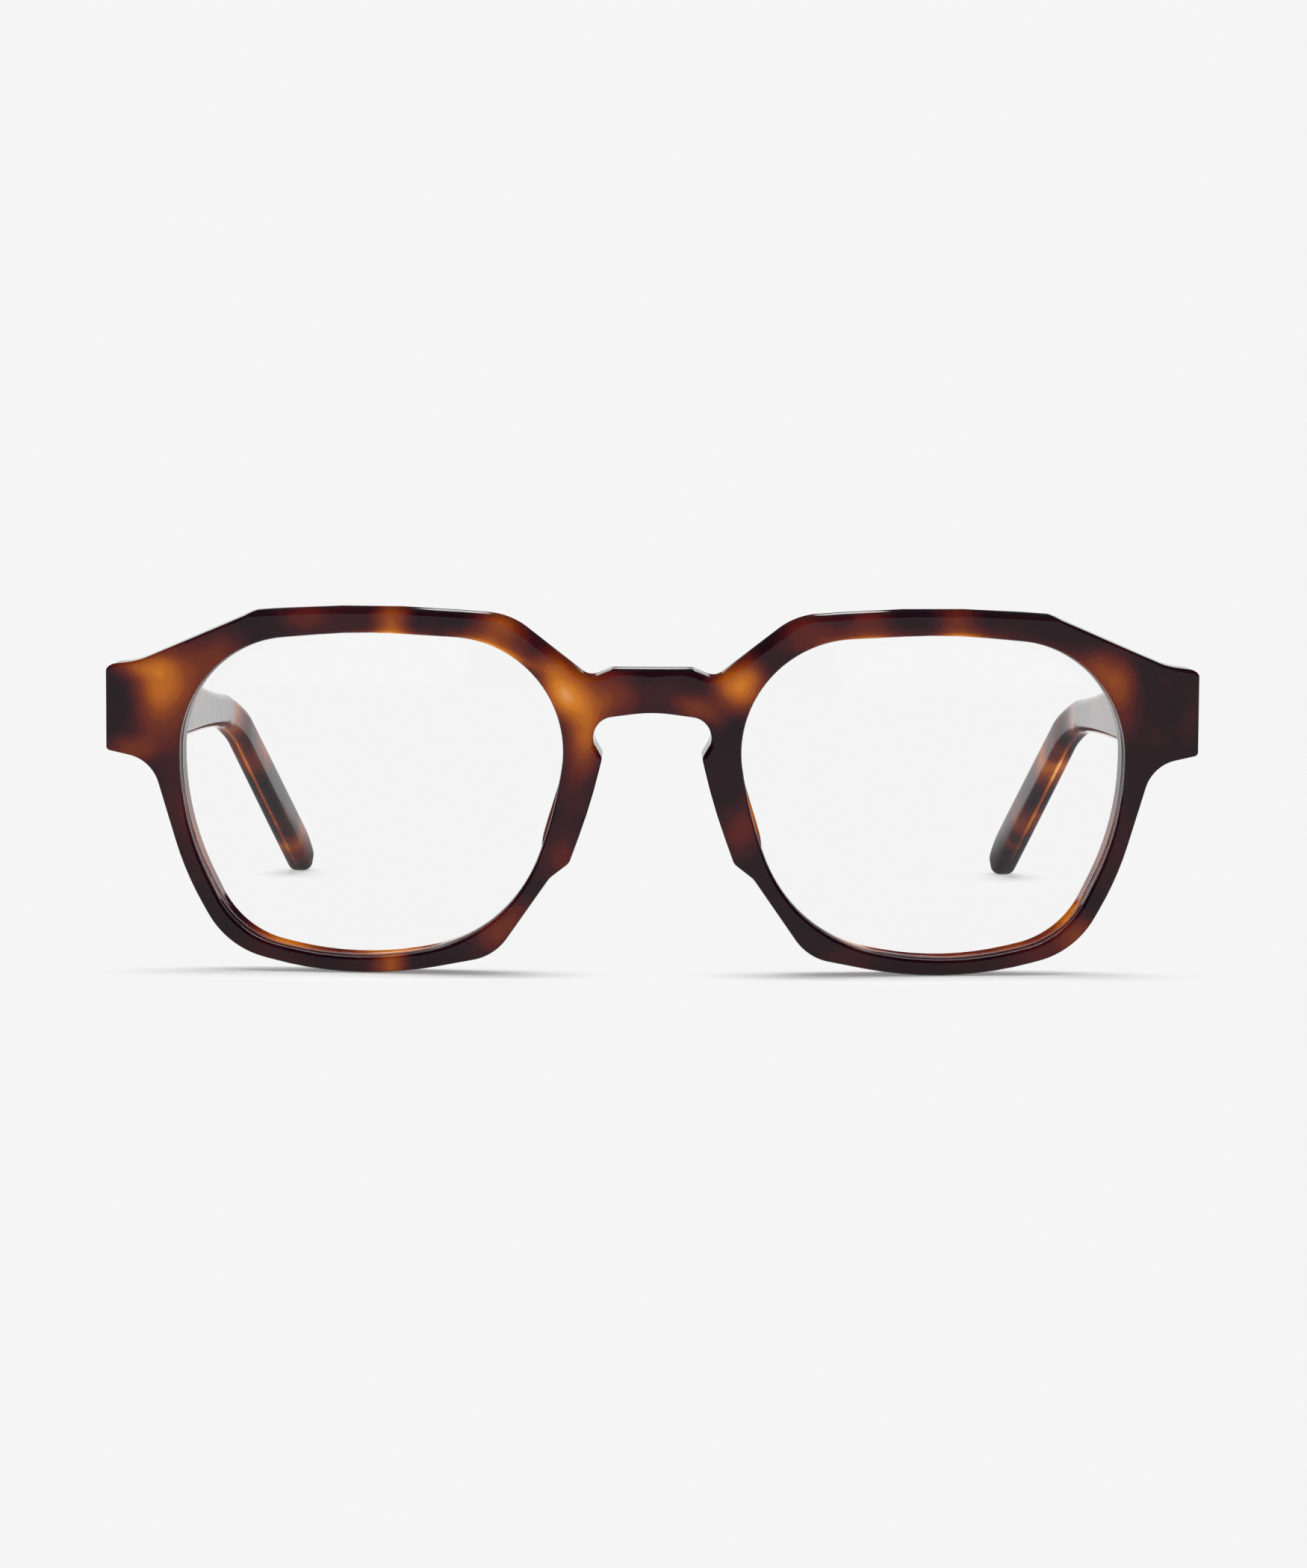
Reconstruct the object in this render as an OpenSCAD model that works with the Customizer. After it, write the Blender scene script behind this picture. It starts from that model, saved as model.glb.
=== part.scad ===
// Acetate eyeglasses with a thick full rim, a keyhole bridge and two folding temples.
// X runs across the face, Y from the front to the temple tips, Z up; millimetres.
// The glasses stand on the lower rims and the temple tips, as when they are put down open.
// Left and right are the wearer's: the wearer's left is on the +X side.

/* [Lenses] */
// Width of each lens opening
lens_w = 50.9; // [41:0.1:61]
// Height of each lens opening
lens_h = 42.6; // [35:0.1:51]
// Radius of the lens's outer surface
lens_curve = 140; // [110:5:200]
// Thickness of the lens
lens_t = 1.9; // [1.4:0.1:2.6]
// Depth of the V groove that holds the lens
groove_depth = 0.75; // [0.5:0.05:1]
// Half width of the V groove at its mouth
groove_half = 0.6; // [0.4:0.05:0.8]
// Setback of the lens's crown behind the front face
crown_set = 0.2; // [0:0.1:0.8]
// Play between the lens edge and its groove
lens_play = 0.08; // [0.04:0.01:0.15]

/* [Front] */
// Gap between the two lens openings
bridge_w = 22.6; // [18:0.2:27]
// Thickness of the acetate
front_t = 6; // [5:0.1:7]
// Radius of the front's curve across the face
face_curve = 280; // [230:10:420]
// Forward lean of the front as the glasses stand
lean = 4; // [2:0.5:6]
// Rim below the lens opening
rim_bottom = 2.2; // [1.8:0.1:3.4]
// Brow above the lens opening
brow = 2.85; // [2.2:0.05:5]
// Reach of the end piece past the lens opening
end_reach = 9.95; // [8.5:0.05:12]
// Height of the end piece
end_h = 10.5; // [9.5:0.1:12]
// Height of the end piece's middle over the lens centre
end_rise = 10.3; // [8:0.1:12]
// Polished edge of the lens openings on the front face
lens_edge = 0.3; // [0.2:0.05:0.4]

/* [Keyhole bridge] */
// Widest part of the keyhole
key_w = 15.2; // [13:0.2:17]
// Height of the keyhole's arch over the lens centre
key_rise = 11.4; // [10:0.1:13]
// Height of the bridge bar
bar_h = 5.2; // [4:0.1:7]
// Width of the flat top of the bar
bar_w = 10.6; // [8:0.2:12]
// Gap between the nose pads at their top
pad_gap = 13; // [12:0.2:14]
// Gap between the nose pads at their foot
pad_flare = 21.5; // [20:0.2:23]
// Depth of the nose pads behind the rim
pad_depth = 4.6; // [3:0.1:6]
// Width of a nose pad where it is bonded
pad_w = 4.4; // [3.6:0.1:5]

/* [Hinges] */
// Diameter of the barrels
barrel_d = 3; // [2.6:0.1:3.4]
// Height of one barrel
barrel_h = 1.3; // [1.1:0.05:1.5]
// Slit between neighbouring barrels
barrel_slit = 0.06; // [0.04:0.01:0.1]
// Diameter of the screw's shank
screw_d = 1.4; // [1.2:0.05:1.6]
// Play of the shank in the barrels, on the radius
screw_play = 0.05; // [0.02:0.01:0.08]
// Diameter of the screw's head
screw_head_d = 2.4; // [2.2:0.1:2.6]
// Depth of the plate that is sunk in the end piece
anchor_depth = 2.2; // [1.6:0.1:2.6]
// Length of the plate that is sunk in the temple
tongue_len = 9; // [7:0.5:12]
// Thickness of the plate that is sunk in the temple
tongue_t = 1.2; // [1:0.1:1.4]
// Play of a sunk plate in its pocket
pocket_play = 0.04; // [0.02:0.01:0.08]
// Gap between the butt of the temple and the end piece
butt_gap = 0.1; // [0.05:0.05:0.2]

/* [Temples] */
// Length of a temple from its hinge to its tip, along the middle
temple_len = 145; // [120:1:175]
// Length of the drop behind the ear
drop_len = 47; // [38:1:57]
// Radius of the bend over the ear
bend_r = 26; // [18:1:36]
// Slope of the temple against the front
temple_slope = 8.6; // [7:0.1:10]
// Turn of the temple towards the head
toe_in = 3.8; // [2:0.1:5]
// Lean of the drop towards the head
drop_lean = 10.5; // [6:0.5:16]
// Thickness at the hinge
temple_t = 4.2; // [3.8:0.1:4.6]
// Thickness at the tip
tip_t = 2.8; // [2.6:0.1:4]
// Height at the hinge
butt_h = 11; // [10:0.1:12]
// Height at the neck, where the bend begins
neck_h = 4.8; // [4.4:0.1:8]
// Height of the spade before its slanted end
spade_h = 5.2; // [4.6:0.1:9]
// Rounding of the temple's long edges
temple_edge = 1.3; // [0.8:0.1:1.6]
// Diameter of the core wire
core_d = 1.3; // [1:0.1:1.6]
// Play of the core wire in its channel
core_play = 0.03; // [0.02:0.01:0.1]

/* [Hidden] */
$fn = 48;

// Turn of one step along a rounded corner
arc_step = 10;
// Half sizes and centre of a lens opening
half_w = lens_w / 2;
half_h = lens_h / 2;
lens_x = bridge_w / 2 + half_w;
lens_z = rim_bottom + half_h;
lens_top = lens_z + half_h;
// Turn of a lens round the curve of the face, and the far edge of its opening
lens_turn = asin(lens_x / face_curve);
lens_out = bridge_w / 2 + lens_w * cos(lens_turn);
// Size that the opening's corner radii follow
lens_round = min(half_w / 1.2, half_h);
// Levels of the bridge and the end piece
key_top = lens_z + key_rise;
bar_top = key_top + bar_h;
end_x = lens_out + end_reach;
end_z = lens_z + end_rise;
end_low = end_z - end_h / 2;
end_high = end_z + end_h / 2;
// Hinge axis: on the temple's inner face, one barrel radius behind the flat seat of the temple.
// The temple's outer face lies a little inside the rear corner of the end piece.
temple_set = 0.15;
hinge_x = end_x * (1 - front_t / face_curve) - temple_set - temple_t;
seat_y = skin_y(hinge_x - 1, front_t);
barrel_r = barrel_d / 2;
barrel_back = 0.15;
hinge_y = seat_y + barrel_back + barrel_r;
barrels = 5;
barrel_pitch = barrel_h + barrel_slit;
hinge_h = barrels * barrel_pitch - barrel_slit;
// Reach of a slanted edge past the skin that it ends at
over = 0.15;
// Room round the barrels in the temple
knuckle_room = 0.4;

// Depth of the front's skin at the distance x from the middle, w behind the front face
function skin_y(x, w) = face_curve - sqrt(pow(face_curve - w, 2) - x * x);

// Depth of the lens in its own frame, t behind the lens's outer surface
function lens_y(p, t) = crown_set + lens_curve - sqrt(pow(lens_curve - t, 2) - p * p);

// Unit vector
function unit(v) = v / norm(v);

// Turn between two directions in a plane, anticlockwise positive
function turn(a, b) = atan2(a.x * b.y - a.y * b.x, a * b);

// A closed chain of corners [x, z, radius], moved outward by d with its radii kept true.
// The chain runs anticlockwise.
function grown(c, d) = [for (i = [0:len(c) - 1])
    let (n = len(c), a = xy(c[(i + n - 1) % n]), b = xy(c[i]), e = xy(c[(i + 1) % n]),
         p = unit(b - a), q = unit(e - b), m = [p.y + q.y, -p.x - q.x],
         s = sign(turn(p, q)), spread = 1 + p * q)
    [b.x + d * m.x / spread, b.y + d * m.y / spread, max(c[i][2] + s * d, 0.05)]];

function xy(c) = [c[0], c[1]];

// Length that the rounding of corner i takes from each of its two sides
function taken(c, i) = let (n = len(c),
    a = xy(c[(i + n - 1) % n]), b = xy(c[i % n]), e = xy(c[(i + 1) % n]))
    c[i % n][2] * tan(abs(turn(b - a, e - b)) / 2);

// Share of its radius that corner i can have where two roundings meet on one side
function share(c, i) = let (n = len(c),
    before = norm(xy(c[i]) - xy(c[(i + n - 1) % n])),
    after = norm(xy(c[(i + 1) % n]) - xy(c[i])))
    min(1, 0.98 * before / (taken(c, i + n - 1) + taken(c, i)),
        0.98 * after / (taken(c, i) + taken(c, i + 1)));

// The rounded outline of such a chain, with the same number of points at every growth
function rounded(c) = [for (i = [0:len(c) - 1])
    let (n = len(c), a = xy(c[(i + n - 1) % n]), b = xy(c[i]), e = xy(c[(i + 1) % n]),
         p = unit(b - a), q = unit(e - b), w = turn(p, q), r = c[i][2] * share(c, i),
         start = b - p * r * tan(abs(w) / 2), mid = start + sign(w) * r * [-p.y, p.x],
         k = ceil(abs(w) / arc_step))
    for (j = [0:k]) mid + spun(start - mid, w * j / k)];

function spun(v, a) = [v.x * cos(a) - v.y * sin(a), v.x * sin(a) + v.y * cos(a)];

function mirrored(c) = [for (i = [len(c) - 1:-1:0]) if (c[i][0] > 0) [-c[i][0], c[i][1], c[i][2]]];

// Corners of the left lens opening round the lens centre: top corners wide, foot narrow.
// The places are in parts of the half box and the radii in parts of lens_round.
lens_shape = [[1, -0.19, 1.7], [1, 0.885, 0.76], [0.06, 1.004, 3.5], [-1.085, 0.945, 0.7],
              [-0.945, -0.095, 2.4], [-0.72, -0.86, 0.94], [0.09, -1.045, 2], [0.7, -0.893, 0.57]];
opening = [for (c = lens_shape) [c[0] * half_w, c[1] * half_h, c[2] * lens_round]];

// Corners of the front's outline, from the keyhole down round the rim and back along the brow
half_outline = [
    [0, key_top, 20],
    [key_w / 2 + 0.35, key_top - 1.1, 2.8],
    [key_w / 2, key_top - 4.2, 2],
    [pad_gap / 2, lens_z + 5.3, 0.7],
    [pad_gap / 2 + 1.4, lens_z - 0.7, 80],
    [pad_flare / 2, lens_z - 8.6, 1.6],
    [pad_flare / 2 + 2.55, lens_z - 10.6, 3],
    [lens_x - 0.64 * half_w, 2.5, 7],
    [lens_x + 0.09 * half_w, -1.3, 50],
    [lens_out - 6.05, 2.75, 11.5],
    [lens_out - 0.6, lens_z - 0.53 * half_h, 40],
    [lens_out + 3.9, end_low - 1.15, 5],
    [end_x, end_low, 0.9],
    [end_x, end_high, 1],
    [end_x - 2.9, end_high + 0.3, 12],
    [lens_out - 8.7, lens_top + 1.95, 3.2],
    [lens_x + 0.5, lens_top + brow + 0.45, 160],
    [lens_x - 0.7 * half_w, lens_top + 2.1, 9.5],
    [bar_w / 2 + 3.05, bar_top - 1.2, 2],
    [bar_w / 2, bar_top, 1.2]];
outline = concat(half_outline, mirrored(half_outline));

// Standing height: the lowest point of the leaning front touches the floor
floor_z = min([for (p = bent(outline, 0, 0)) p.z * cos(lean) + p.y * sin(lean)]);
hinge_floor = end_z * cos(lean) + hinge_y * sin(lean) - floor_z;

// Middle line of a temple in its own side plane, as [back, down] from the butt
temple_run = temple_len - drop_len;
spade_r = 2.2;
spade_off = spade_h / 2 - spade_r;
// Slope of the drop at which the tip just reaches the floor
bend_floor = hinge_floor - temple_run * sin(temple_slope - lean);
drop_reach = norm([drop_len - spade_r, spade_off]);
drop_slope = lean + asin((bend_floor - spade_r) / drop_reach)
    - atan2(spade_off, drop_len - spade_r);
bend_turn = drop_slope - temple_slope;
bend_tan = bend_r * tan(bend_turn / 2);
bend_arc = bend_r * bend_turn * PI / 180;
run_len = temple_run - bend_tan;
spine_len = run_len + bend_arc + drop_len - bend_tan;

function way(a) = [cos(a), sin(a)];
function slope_at(s) = s < run_len ? temple_slope
    : s < run_len + bend_arc ? temple_slope + (s - run_len) / bend_r * 180 / PI : drop_slope;
function side_at(s) = s < run_len ? s * way(temple_slope)
    : s < run_len + bend_arc ? run_len * way(temple_slope)
        + bend_r * [sin(slope_at(s)) - sin(temple_slope), cos(temple_slope) - cos(slope_at(s))]
    : side_at(run_len + bend_arc - 0.001) + (s - run_len - bend_arc) * way(drop_slope);
// Sideways shift towards the head: toe-in, then the lean of the drop, blended over the bend
function ease(t) = let (c = min(max(t, 0), 1)) c * c * (3 - 2 * c);
function inward_at(s) = s * tan(toe_in)
    + max(s - run_len, 0) * (tan(drop_lean) - tan(toe_in)) * ease((s - run_len) / bend_arc);
function spine_at(s, lift = drop_lift) = let (p = side_at(s))
    [hinge_x + temple_t / 2 - inward_at(s), seat_y + butt_gap + p.x, end_z - p.y + lift * s / spine_len];

// Value at s on a smooth curve through the points [s, value]
function along(s, k, i = 0) = i >= len(k) - 2 || s < k[i + 1][0]
    ? k[i][1] + (k[i + 1][1] - k[i][1]) * ease((s - k[i][0]) / (k[i + 1][0] - k[i][0]))
    : along(s, k, i + 1);

// Half heights above and under the middle line, and the thickness
tip_cut = 7;
heights = [[0, butt_h / 2], [run_len, neck_h / 2], [spine_len - tip_cut, spade_h / 2]];
function round_end(s, l) = let (x = min(max((s - (spine_len - l)) / l, 0), 1)) sqrt(1 - x * x);
function above_at(s) = along(s, heights) * (0.3 + 0.7 * round_end(s, tip_cut))
    - 0.29 * spade_h / 2 * (1 - round_end(s, 1));
function under_at(s) = along(s, heights) - spade_r * (1 - round_end(s, spade_r));
function thick_at(s) = temple_t + (tip_t - temple_t) * ease(s / run_len)
    - (tip_t - 1.4) * (1 - round_end(s, 1.2));

// Section of the temple at s: a rounded rectangle across the middle line
edge_steps = 3;
function temple_ring(s, lift = drop_lift) = let (
    mid = spine_at(s, lift),
    ahead = unit(spine_at(s + 0.05, lift) - spine_at(s - 0.05, lift)),
    square = ease(s / 20),
    across = unit([1, -ahead.x / ahead.y * square, 0]),
    up = unit(cross(across, unit([0, 1, 0] * (1 - square) + ahead * square))),
    a = above_at(s), u = under_at(s), t = thick_at(s) / 2,
    r = min(temple_edge, 0.9 * t, 0.9 * a, 0.9 * u))
    [for (c = [[1, a, 0], [-1, a, 90], [-1, -u, 180], [1, -u, 270]], j = [0:edge_steps])
        let (w = c[2] + 90 * j / edge_steps)
        mid + across * (c[0] * (t - r) + r * cos(w)) + up * (c[1] - sign(c[1]) * r + r * sin(w))];

// Stations along the temple, closer together at the bend and at the tip
stations = concat([for (i = [0:11]) i / 12 * run_len], [for (i = [0:7]) run_len + i / 8 * bend_arc],
    [for (i = [0:4]) run_len + bend_arc + i / 5 * (spine_len - tip_cut - run_len - bend_arc)],
    [for (i = [0:9]) spine_len - tip_cut * cos(i * 9.9)]);

// The drop's sideways lean moves its lowest point; this small lift brings it back to the floor
tip_stations = [for (s = stations) if (s > spine_len - 2 * tip_cut) s];
tip_low = min([for (s = tip_stations, p = temple_ring(s, 0)) p.z * cos(lean) + p.y * sin(lean)]);
drop_lift = (floor_z - tip_low) / cos(lean);

// Front-to-back middle of the whole standing object
tip_back = max([for (s = tip_stations, p = temple_ring(s)) p.y * cos(lean) - p.z * sin(lean)]);
brow_front = min([for (p = bent(outline, 0, 0)) p.y * cos(lean) - p.z * sin(lean)]);
middle_y = (tip_back + brow_front) / 2;

// Stands a piece of the front's own frame on the floor
module stand() translate([0, -middle_y, -floor_z]) rotate([lean, 0, 0]) children();
// Draws a piece of the wearer's left side on the asked side
module on_side(left) mirror([left ? 0 : 1, 0, 0]) children();
// The frame of the left lens: it turns about the centre of the face's curve
module at_lens() translate([0, face_curve, lens_z]) rotate([0, 0, lens_turn])
    translate([0, -face_curve, 0]) children();

// Triangles between neighbouring rings of equal length; the rings run anticlockwise from the front
function ring_faces(rings, last) = let (n = len(rings[0]), m = len(rings))
    [for (j = [0:last - 1], i = [0:n - 1])
        let (a = j * n + i, b = j * n + (i + 1) % n, d = (j + 1) % m * n)
        each [[a, b, d + (i + 1) % n], [a, d + (i + 1) % n, d + i]]];

// A solid through rings, with flat ends
module loft(rings) {
    n = len(rings[0]);
    m = len(rings);
    polyhedron([for (r = rings) each r],
        concat(ring_faces(rings, m - 1),
            [[for (i = [n - 1:-1:0]) i], [for (i = [0:n - 1]) (m - 1) * n + i]]));
}

// A closed band through rings: the last ring joins the first
module band(rings) polyhedron([for (r = rings) each r], ring_faces(rings, len(rings)));

// An outline grown by d and bent with the front, w behind the front face: the front is milled
// flat and then bent, so its walls stand square to its faces
function bent(c, d, w) = [for (p = rounded(grown(c, d))) let (a = asin(p.x / face_curve))
    [(face_curve - w) * sin(a), face_curve - (face_curve - w) * cos(a), p.y]];
// An outline grown by d, laid straight back on the front's skin, w behind the front face
function on_skin(c, d, w) = [for (p = rounded(grown(c, d))) [p.x, skin_y(p.x, w), p.y]];
// The same outline laid on the lens, t behind the lens's outer surface
function on_lens(c, d, t) = [for (p = rounded(grown(c, d))) [p.x, lens_y(p, t), p.y]];
// A ring moved straight to one depth
function flat(ring, y) = [for (p = ring) [p.x, y, p.z]];

// Everything between the front face and the rear face
module shell(deep) difference() {
    translate([0, face_curve, -5]) cylinder(r = face_curve, h = 70, $fn = 360);
    translate([0, face_curve, -6]) cylinder(r = face_curve - deep, h = 72, $fn = 360);
}

// The outline as a solid with bent walls, to be cut to the front's thickness
module blank() {
    face = bent(outline, 0, -over);
    rear = bent(outline, 0, front_t + over);
    loft([flat(face, -5), face, rear, flat(rear, 30)]);
}

// A lens opening with its slanted front edge and the V groove that holds the lens
module lens_seat() {
    face = on_skin(opening, lens_edge + over, -over);
    loft([flat(face, -5), face, on_skin(opening, 0, lens_edge), flat(on_skin(opening, 0, 0), 30)]);
    mouth = groove_half * (1 + over / groove_depth);
    band([on_lens(opening, -over, lens_t / 2 - mouth), on_lens(opening, groove_depth, lens_t / 2),
          on_lens(opening, -over, lens_t / 2 + mouth)]);
}

module front() color("#6b3416") stand() difference() {
    intersection() {
        blank();
        shell(front_t);
    }
    for (left = [false, true]) on_side(left) {
        at_lens() lens_seat();
        at_hinge() anchor(pocket_play);
        translate([hinge_x - 1, seat_y, end_low - 5]) cube([20, 10, end_h + 10]);
    }
}

// A lens: its edge is ground to the V that the groove holds
module lens(left) color("#dfe9ee", 0.35) stand() on_side(left) at_lens() intersection() {
    front_lip = on_lens(opening, -lens_play, lens_t / 2 - groove_half);
    rear_lip = on_lens(opening, -lens_play, lens_t / 2 + groove_half);
    loft([flat(front_lip, -5), front_lip, on_lens(opening, groove_depth - lens_play, lens_t / 2),
          rear_lip, flat(rear_lip, 20)]);
    translate([0, crown_set + lens_curve, 0]) difference() {
        sphere(lens_curve, $fn = 180);
        sphere(lens_curve - lens_t, $fn = 180);
    }
}

// A nose pad, bonded to the rear face along the nose edge; it swells in the middle and
// turns away from the nose towards the rear
pad_steps = 12;
function pad_edge(z) = let (low = lens_z - 8.6, top = lens_z + 5.3, t = (z - low) / (top - low))
    (pad_flare + (pad_gap - pad_flare) * t) / 2 - 0.9 * t * (1 - t);
function pad_ring(t) = let (
    low = lens_z - 9.2, top = lens_z + 5.8, z = low + (top - low) * t,
    x = pad_edge(z) + 0.25, swell = sqrt(max(1 - pow(2 * t - 1, 4), 0)),
    y = skin_y(x, front_t) - 0.5, d = 0.5 + pad_depth * swell, w = pad_w * (0.35 + 0.65 * swell))
    [for (p = [[0, 0], [w, 0], [w, 0.35 * d], [0.9 * w, 0.7 * d], [0.78 * w, 0.92 * d],
               [0.6 * w, d], [0.42 * w, 0.95 * d], [0.22 * w, 0.75 * d], [0.06 * w, 0.4 * d]])
        [x + p.x, y + p.y, z]];
module nose_pad(left) color("#6b3416") stand() on_side(left) difference() {
    loft([for (i = [0:pad_steps]) pad_ring(0.5 + 0.5 * cos(i * 180 / pad_steps))]);
    translate([0, face_curve, -5])
        difference() {
            cylinder(r = face_curve + 1, h = 70, $fn = 360);
            translate([0, 0, -1]) cylinder(r = face_curve - front_t, h = 72, $fn = 360);
        }
}

// Puts a piece on the left hinge axis, X outward and Y to the rear
module at_hinge() translate([hinge_x, hinge_y, end_z]) children();

// The barrels numbered from the foot, with the screw's bore through them
module barrel_row(which) for (i = which)
    translate([0, 0, i * barrel_pitch - hinge_h / 2]) children();
module bore() translate([0, 0, -hinge_h]) cylinder(d = screw_d + 2 * screw_play, h = 2 * hinge_h);

// The plate that is sunk in the end piece
anchor_in = 2.2;
anchor_out = 3;
module anchor(play) {
    y = seat_y - hinge_y;
    translate([-anchor_in - play, y - anchor_depth - play, -hinge_h / 2 - play])
        cube([anchor_in + anchor_out + 2 * play, anchor_depth + play, hinge_h + 2 * play]);
}

module hinge_front(left) color("silver") stand() on_side(left) at_hinge() difference() {
    union() {
        anchor(0);
        barrel_row([0, 2, 4]) {
            cylinder(r = barrel_r, h = barrel_h);
            translate([-barrel_r, seat_y - hinge_y - 0.1, 0])
                cube([barrel_d, hinge_y - seat_y + 0.1, barrel_h]);
        }
    }
    bore();
    // Seat of the screw's head in the top barrel
    translate([0, 0, hinge_h / 2 - head_sink])
        cylinder(d = screw_head_d + 2 * screw_play, h = 2);
}

// The plate that is sunk in the temple
tongue_x = 1;
tongue_y = barrel_r + 0.4;
tongue_h = 5.4;
module tongue(play) translate([tongue_x - play, tongue_y - play, -tongue_h / 2 - play])
    cube([tongue_t + 2 * play, tongue_len + 2 * play, tongue_h + 2 * play]);

module hinge_temple(left) color("silver") stand() on_side(left) at_hinge() difference() {
    union() {
        tongue(0);
        barrel_row([1, 3]) {
            cylinder(r = barrel_r, h = barrel_h);
            translate([0, 0, 0]) cube([tongue_x + tongue_t, tongue_y + 0.5, barrel_h]);
        }
    }
    bore();
}

head_sink = 0.5;
head_h = 0.7;
slot_w = 0.35;
module hinge_screw(left) color("silver") stand() on_side(left) at_hinge() difference() {
    union() {
        translate([0, 0, -hinge_h / 2]) cylinder(d = screw_d, h = hinge_h - head_sink + 0.1);
        translate([0, 0, hinge_h / 2 - head_sink + 0.02]) cylinder(d = screw_head_d, h = head_h);
    }
    translate([-2, -slot_w / 2, hinge_h / 2 - head_sink + head_h - 0.33]) cube([4, slot_w, 1]);
}

module temple(left) color("#6b3416") stand() on_side(left) difference() {
    loft([for (s = stations) temple_ring(s)]);
    at_hinge() {
        tongue(pocket_play);
        // Room for the barrels and for the plates that carry them
        translate([0, 0, -hinge_h / 2 - knuckle_room])
            cylinder(r = barrel_r + knuckle_room, h = hinge_h + 2 * knuckle_room);
        translate([-3, seat_y - hinge_y - 1, -hinge_h / 2 - knuckle_room])
            cube([3 + barrel_r + knuckle_room, hinge_y - seat_y + 1, hinge_h + 2 * knuckle_room]);
        translate([-3, 0, -hinge_h / 2 - knuckle_room])
            cube([3 + tongue_x + tongue_t + pocket_play, tongue_y + 0.5 + pocket_play,
                  hinge_h + 2 * knuckle_room]);
    }
    core_wire_rod(core_play);
}

// The core wire runs along the middle of the temple, from behind the hinge to the spade
wire_from = tongue_y + tongue_len + 3;
wire_to = spine_len - 12;
wire_steps = 26;
function wire_ring(s, r) = let (ahead = unit(spine_at(s + 0.05) - spine_at(s - 0.05)),
    across = unit(cross(ahead, [0, 0, 1])), up = cross(across, ahead), m = spine_at(s))
    [for (i = [0:7]) m + r * (across * cos(i * 45) + up * sin(i * 45))];
module core_wire_rod(play) loft([for (i = [0:wire_steps])
    let (from = wire_from - play, to = wire_to + play)
    wire_ring(from + (to - from) * i / wire_steps, core_d / 2 + play)]);
module core_wire(left) color("silver") stand() on_side(left) core_wire_rod(0);

front();
lens(true);  // lens_left
lens(false);  // lens_right
nose_pad(true);  // nose_pad_left
nose_pad(false);  // nose_pad_right
hinge_front(true);  // hinge_front_left
hinge_front(false);  // hinge_front_right
hinge_temple(true);  // hinge_temple_left
hinge_temple(false);  // hinge_temple_right
hinge_screw(true);  // hinge_screw_left
hinge_screw(false);  // hinge_screw_right
temple(true);  // temple_left
temple(false);  // temple_right
core_wire(true);  // core_wire_left
core_wire(false);  // core_wire_right
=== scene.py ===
# The looks of the acetate eyeglasses: polished tortoiseshell, clear lenses and small metal hinges.
# Lengths are in millimetres until a mesh is made, and left and right are the wearer's.
import math

import bmesh
import bpy
import numpy as np
from mathutils import Matrix, Vector, geometry


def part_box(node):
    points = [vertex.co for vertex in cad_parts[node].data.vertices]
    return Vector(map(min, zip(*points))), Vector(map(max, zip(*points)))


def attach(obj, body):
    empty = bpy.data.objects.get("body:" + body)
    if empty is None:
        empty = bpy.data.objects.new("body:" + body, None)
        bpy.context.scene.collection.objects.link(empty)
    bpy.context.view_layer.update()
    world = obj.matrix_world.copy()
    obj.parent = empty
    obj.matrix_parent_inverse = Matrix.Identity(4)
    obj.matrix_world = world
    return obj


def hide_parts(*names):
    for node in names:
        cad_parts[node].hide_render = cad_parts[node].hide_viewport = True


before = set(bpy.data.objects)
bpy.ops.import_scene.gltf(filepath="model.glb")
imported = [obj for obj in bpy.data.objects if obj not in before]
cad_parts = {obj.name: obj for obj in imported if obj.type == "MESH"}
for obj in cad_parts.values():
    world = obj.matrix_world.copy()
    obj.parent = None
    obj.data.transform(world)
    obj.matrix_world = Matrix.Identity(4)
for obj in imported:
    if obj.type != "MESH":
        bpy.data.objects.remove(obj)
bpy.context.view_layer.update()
MM = 0.001

# Sizes of the front, as in the solid model
LENS_W, LENS_H, LENS_CURVE, LENS_T = 50.9, 42.6, 140.0, 1.9
GROOVE_DEPTH, GROOVE_HALF, CROWN_SET, LENS_PLAY = 0.75, 0.6, 0.2, 0.08
BRIDGE_W, FRONT_T, FACE_CURVE, LEAN = 22.6, 6.0, 280.0, 4.0
RIM_BOTTOM, BROW, END_REACH, END_RISE = 2.2, 2.85, 9.95, 10.3
KEY_W, KEY_RISE, BAR_H, BAR_W = 15.2, 11.4, 5.2, 10.6
PAD_GAP, PAD_FLARE, PAD_DEPTH, PAD_W = 13.0, 21.5, 4.6, 4.4
# Sizes of the temples and the hinges, as in the solid model
TEMPLE_LEN, DROP_LEN, BEND_R, TEMPLE_SLOPE, TOE_IN, DROP_LEAN = 145.0, 47.0, 26.0, 8.6, 3.8, 10.5
TEMPLE_T, BUTT_H, NECK_H, SPADE_H, TEMPLE_EDGE = 4.2, 11.0, 4.8, 5.2, 1.3
SPADE_R, TIP_CUT, TEMPLE_SET, BUTT_GAP = 2.2, 7.0, 0.15, 0.1
BARREL_R, BARREL_BACK, BARREL_H, BARREL_SLIT, BARRELS = 1.5, 0.15, 1.3, 0.06, 5
KNUCKLE_ROOM, TONGUE_X, TONGUE_T, TONGUE_PLAY = 0.4, 1.0, 1.2, 0.04
# Shown a little larger than in the solid model: end pieces 10.5 high and temple tips 2.8 thick there
END_H, TIP_SHOWN, TIP_OUT = 11.2, 3.5, 0.9

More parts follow.
